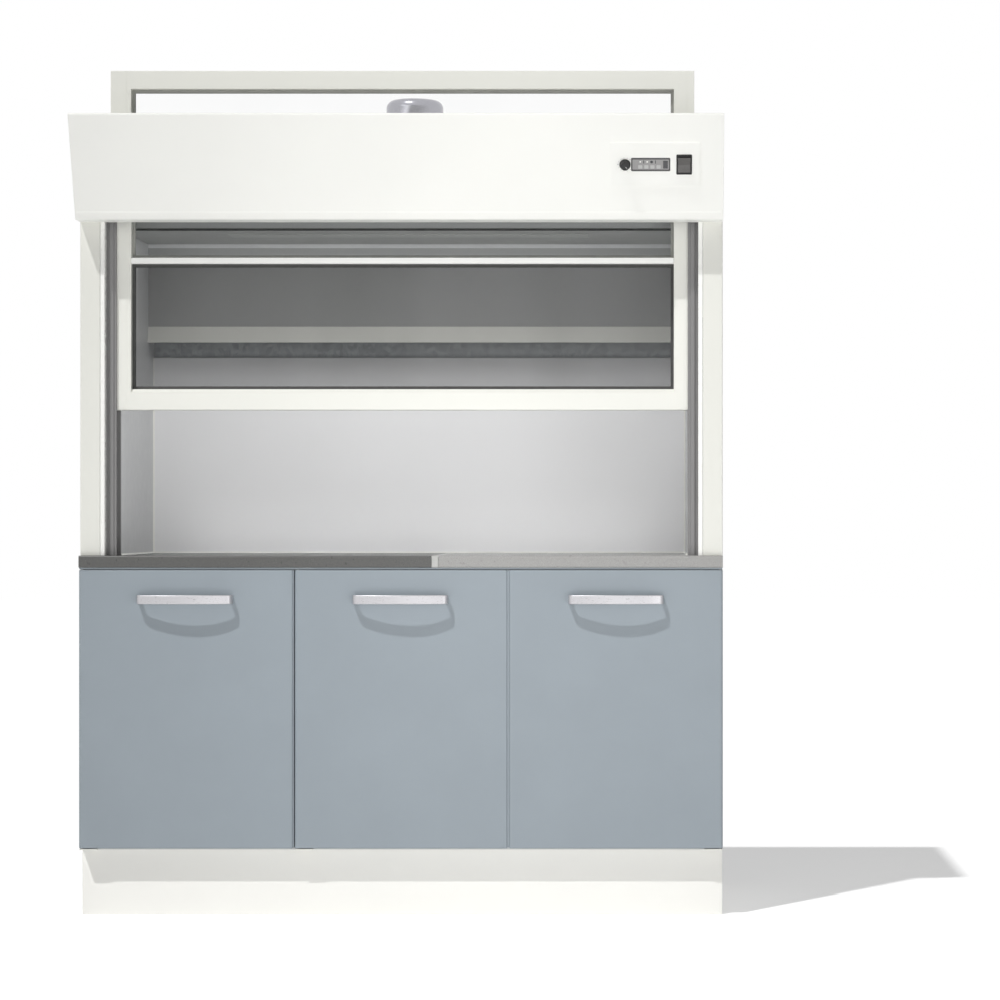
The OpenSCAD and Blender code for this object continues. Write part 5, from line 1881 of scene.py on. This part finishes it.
@dataclass
class Balance:
    """The sash's counterbalance: stranded cables, pulleys, axles and weights."""

    cable_r: float = 0.0015
    y: float = -0.1865
    sash_run_x: float = 0.687
    weight_run_x: float = 0.722
    top_z: float = 1.785
    lug_z: float = 1.222
    eye_z: float = 1.410
    strands: int = 6
    lay: float = 0.024

    def strand(self, x: float, low_z: float) -> Shell:
        """One straight run of stranded cable.

        Round the run, the radius dips between the strands, and the strands turn about the
        run by one full turn in each lay of its height.

        Args:
            x: the run's place across the hood.
            low_z: its lower end.

        Returns:
            The closed shell.
        """
        angle = np.linspace(0, 2 * math.pi, 24, endpoint=False)
        height = np.linspace(low_z, self.top_z, 160)
        turn = 2 * math.pi * height[:, None] / self.lay
        dips = np.abs(np.cos(self.strands / 2 * (angle[None] - turn)))
        radius = self.cable_r * (0.9 + 0.1 * dips)
        rings = np.stack([x + radius * np.cos(angle), self.y + radius * np.sin(angle),
                          np.broadcast_to(height[:, None], radius.shape)], axis=-1)
        return shell_of(rings)

    def run(self, name: str, x: float, low_z: float, body: str, node: str) -> None:
        """Two runs, one on each side, that stretch between the pulleys and a body.

        Args:
            name: the piece's name.
            x: how far from the middle they lie.
            low_z: their lower end.
            body: the body that carries their lower end.
            node: the CAD node that they stand for.
        """
        one = self.strand(x, low_z)
        piece = mesh_piece(name, [one, one.mirrored()], 80.0)
        piece.data.materials.append(CABLE.material())
        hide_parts(node)
        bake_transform(piece)
        log.info("%s stretches between root and %s", name, body)

    def build(self, nodes: dict[str, bpy.types.Object]) -> None:
        """Build the cables, and finish the pulleys, the axles and the weights."""
        self.run("sash_cable_runs", self.sash_run_x, self.lug_z, "sash", "sash_cables")
        self.run("weight_cable_runs", self.weight_run_x, self.eye_z, "weights",
                 "weight_cables")
        kept(nodes["cable_wraps"], CABLE)
        kept(nodes["pulley_axles"], PLATED, 0.0004)
        kept(nodes["counterweights"], IRON, 0.0015)
        kept(nodes["pulley_left"], GREY, 0.0003)
        kept(nodes["pulley_right"], GREY, 0.0003)


@dataclass
class Fan:
    """The extract fan in the roof space and the spun cowl over its motor."""

    centre_y: float = 0.1945
    cowl_r: float = 0.070
    foot_r: float = 0.078
    wall_h: float = 0.0841
    dome_h: float = 0.023
    bend_r: float = 0.020
    bead_z: float = 0.062
    sheet: float = 0.002

    def cowl(self) -> None:
        """A spun cowl: a flange, a round wall with a rolled bead, a bend and a low crown."""
        r, t, h, bead = self.cowl_r, self.sheet, self.wall_h, self.bead_z
        outer, inner = (crowned(r, h, self.dome_h, self.bend_r, inset, 14)
                        for inset in (0.0, t))
        profile = [(r - t, 0.0), (self.foot_r - 0.0006, 0.0), (self.foot_r, 0.0006),
                   (self.foot_r, t - 0.0004), (self.foot_r - 0.0008, t), (r + 0.002, t),
                   (r + 0.0006, t + 0.0006), (r, t + 0.002), (r, bead - 0.002),
                   (r + 0.0008, bead - 0.0008), (r + 0.0008, bead + 0.0008),
                   (r, bead + 0.002)]
        profile += [*outer, *inner[::-1], (r - t, 0.0)]
        shell = turned_form(profile, (0.0, self.centre_y, HOOD.head_z), sides=120)
        dressed(mesh_piece("domed_cowl", [shell]), COWL, replaces=["motor_cowl"])
        angle = np.radians(np.arange(30, 390, 60))
        ring = (r + self.foot_r) / 2 + 0.0008
        places = np.stack([ring * np.cos(angle), self.centre_y + ring * np.sin(angle),
                           np.full(6, HOOD.head_z + t)], axis=1)
        dressed(mesh_piece("cowl_screws", screws(places, (0, 0, 1), 0.0026)), PLATED)

    def build(self, nodes: dict[str, bpy.types.Object]) -> None:
        """Build the cowl, and finish the fan under it."""
        self.cowl()
        kept(nodes["fan_housing"], ZINC, 0.0003)
        kept(nodes["fan_motor"], MOTOR, 0.001)
        kept(nodes["impeller"], ZINC)


@dataclass
class Studio:
    """Camera, lamps, floor and background.

    Attributes:
        sky: how bright the even light from the world is.
        floor_tone: how much of the light the floor gives back.
        floor_glow: what the camera sees added to it, so that the lit floor looks white.
    """

    eye: Vector = (0.585, -7.9045, 0.924)
    lens: float = 118.15
    shift: tuple[float, float] = (-0.152, 0.020)
    sun_path: Vector = (0.348, 0.54, -1.0)
    sun_strength: float = 1.93
    sun_angle: float = 1.2
    sky: float = 0.17
    floor_half: float = 30.0
    floor_tone: float = 0.88
    floor_glow: float = 0.41

    def camera(self) -> None:
        """A long lens square to the front, shifted sideways as in the photograph."""
        data = bpy.data.cameras.new("camera")
        data.lens = self.lens
        data.sensor_width = 36.0
        data.shift_x, data.shift_y = self.shift
        data.clip_end = 100.0
        camera = bpy.data.objects.new("camera", data)
        camera.location = self.eye
        camera.rotation_euler = (math.pi / 2, 0.0, 0.0)
        bpy.context.collection.objects.link(camera)
        bpy.context.scene.camera = camera

    def lamp(self, name: str, size: tuple[float, float], watts: float, place: Vector,
             aim: Vector, spread: float = 180.0, mirrored: bool = True) -> None:
        """Hang a rectangular soft lamp.

        Args:
            name: its name.
            size: its length along its own X and Y. Where a lamp faces nearly along the
                hood's Y, its own X stands upright.
            watts: its power.
            place: where it hangs.
            aim: the point that it faces.
            spread: the angle in degrees over which it shines.
            mirrored: whether glass and metal show it.
        """
        data = bpy.data.lights.new(name, "AREA")
        data.shape = "RECTANGLE"
        data.size, data.size_y = size
        data.energy = watts
        data.spread = math.radians(spread)
        lamp = bpy.data.objects.new(name, data)
        back = turning(np.asarray(place) - np.asarray(aim))
        lamp.matrix_world = matrix_of(back, place)
        lamp.visible_camera = False
        lamp.visible_glossy = mirrored
        bpy.context.collection.objects.link(lamp)

    def lamps(self) -> None:
        """A sun from the upper left front, six weak soft lamps and two in the chamber."""
        data = bpy.data.lights.new("sun", "SUN")
        data.energy = self.sun_strength
        data.angle = math.radians(self.sun_angle)
        sun = bpy.data.objects.new("sun", data)
        sun.matrix_world = matrix_of(turning(-np.asarray(self.sun_path)), (0, 0, 4))
        bpy.context.collection.objects.link(sun)
        self.lamp("front fill", (2.4, 1.6), 9.0, (0.5, -4.4, 0.85), (0.0, 0.0, 1.1))
        self.lamp("canopy fill", (2.8, 0.4), 1.2, (0.4, -2.1, 1.5), (0.3, -0.3, 1.78), 70.0,
                  mirrored=False)
        self.lamp("opening fill", (1.4, 0.3), 0.6, (0.1, -2.6, 1.0), (0.0, 0.3, 1.02), 50.0,
                  mirrored=False)
        self.lamp("left fill", (0.5, 3.0), 8.0, (-2.3, -3.0, 2.75), (-0.1, 0.19, 1.95))
        self.lamp("right fill", (1.6, 1.2), 16.0, (2.4, -3.0, 0.5), (0.3, 0.0, 1.2))
        self.lamp("upward fill", (3.0, 1.2), 18.0, (0.2, -1.9, 0.05), (0.2, -1.2, 1.7))
        self.lamp("chamber lamp", (1.2, 0.2), 2.0, (0.0, -0.04, 1.59), (0.0, 0.05, 0.9))
        self.lamp("worktop strip", (0.04, 1.2), 0.2, (0.0, -0.1, 0.87), (0.0, 0.346, 0.875),
                  60.0, mirrored=False)

    def background(self) -> None:
        """White for the camera and in reflections, and an even sky for the light."""
        world = bpy.data.worlds.new("sky")
        bpy.context.scene.world = world
        world.use_nodes = True
        tree = world.node_tree
        tree.nodes.clear()
        sky = tree.nodes.new("ShaderNodeBackground")
        white = tree.nodes.new("ShaderNodeBackground")
        sky.inputs["Strength"].default_value = self.sky
        white.inputs["Strength"].default_value = 1.0
        for node in (sky, white):
            node.inputs["Color"].default_value = (1.0, 1.0, 1.0, 1.0)
        split_by_ray(tree, sky.outputs[0], white.outputs[0], "ShaderNodeOutputWorld")

    def floor(self) -> None:
        """A wide pale floor that looks white and keeps the shadow."""
        half, tone = self.floor_half, self.floor_tone
        corners = [(-half, -half, 0.0), (half, -half, 0.0), (half, half, 0.0),
                   (-half, half, 0.0)]
        mesh = bpy.data.meshes.new("floor")
        mesh.from_pydata(corners, [], [(0, 1, 2, 3)])
        piece = bpy.data.objects.new("floor", mesh)
        bpy.context.collection.objects.link(piece)
        material = bpy.data.materials.new("pale floor")
        material.use_nodes = True
        tree = material.node_tree
        tree.nodes.clear()
        plain = tree.nodes.new("ShaderNodeBsdfDiffuse")
        plain.inputs["Color"].default_value = (tone, tone, tone, 1.0)
        glow = tree.nodes.new("ShaderNodeEmission")
        glow.inputs["Strength"].default_value = self.floor_glow
        pale = tree.nodes.new("ShaderNodeAddShader")
        tree.links.new(plain.outputs[0], pale.inputs[0])
        tree.links.new(glow.outputs[0], pale.inputs[1])
        split_by_ray(tree, plain.outputs[0], pale.outputs[0], "ShaderNodeOutputMaterial")
        mesh.materials.append(material)
        piece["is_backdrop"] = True

    def build(self) -> None:
        """Set up the camera, the lamps, the floor and the background."""
        bpy.context.scene.view_settings.view_transform = "Standard"
        self.camera()
        self.lamps()
        self.background()
        self.floor()


def matrix_of(rotation: np.ndarray, place: Sequence[float]) -> Matrix:
    """Return Blender's four-by-four matrix of a rotation and a place."""
    whole = np.eye(4)
    whole[:3, :3] = rotation
    whole[:3, 3] = place
    return Matrix(whole.tolist())


def split_by_ray(tree: bpy.types.NodeTree, lit: bpy.types.NodeSocket,
                 seen: bpy.types.NodeSocket, output: str) -> None:
    """Light the hood with one shader, and show another to the camera, metal and glass.

    Args:
        tree: the node tree of the world or of a material.
        lit: the shader that lights the hood.
        seen: the shader that camera, glossy and transmission rays meet.
        output: the type of the tree's output node.
    """
    path = tree.nodes.new("ShaderNodeLightPath")
    flag = path.outputs["Is Camera Ray"]
    for name in ("Is Glossy Ray", "Is Transmission Ray"):
        either = tree.nodes.new("ShaderNodeMath")
        either.operation = "MAXIMUM"
        tree.links.new(flag, either.inputs[0])
        tree.links.new(path.outputs[name], either.inputs[1])
        flag = either.outputs[0]
    mix = tree.nodes.new("ShaderNodeMixShader")
    for source, socket in zip((flag, lit, seen), mix.inputs):
        tree.links.new(source, socket)
    end = tree.nodes.new(output)
    tree.links.new(mix.outputs[0], end.inputs["Surface"])


def main() -> None:
    """Load the frame, build the hood's pieces in order and work out the two boxes."""
    logging.basicConfig(level=logging.INFO, format="%(name)s: %(message)s")
    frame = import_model()
    cad_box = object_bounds()
    nodes = frame["nodes"]
    Studio().build()
    BaseCabinet().build(nodes)
    Door("left", -0.750, -0.2525, -0.2985).build()
    Door("middle", -0.2475, 0.2475, 0.2015).build()
    Door("right", 0.2525, 0.750, 0.2985).build()
    Worktop().build()
    SideColumn("left").build()
    SideColumn("right").build()
    Chamber().build(nodes)
    Enclosure().build(nodes)
    slope = Slope()
    Canopy(slope).build()
    Controls(slope).build(nodes)
    Sash().build()
    Balance().build(nodes)
    Fan().build(nodes)
    boxes = {"cad": cad_box, "visual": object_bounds()}
    plain = {name: np.asarray(box, dtype=float).tolist() for name, box in boxes.items()}


if __name__ == "__main__":
    main()
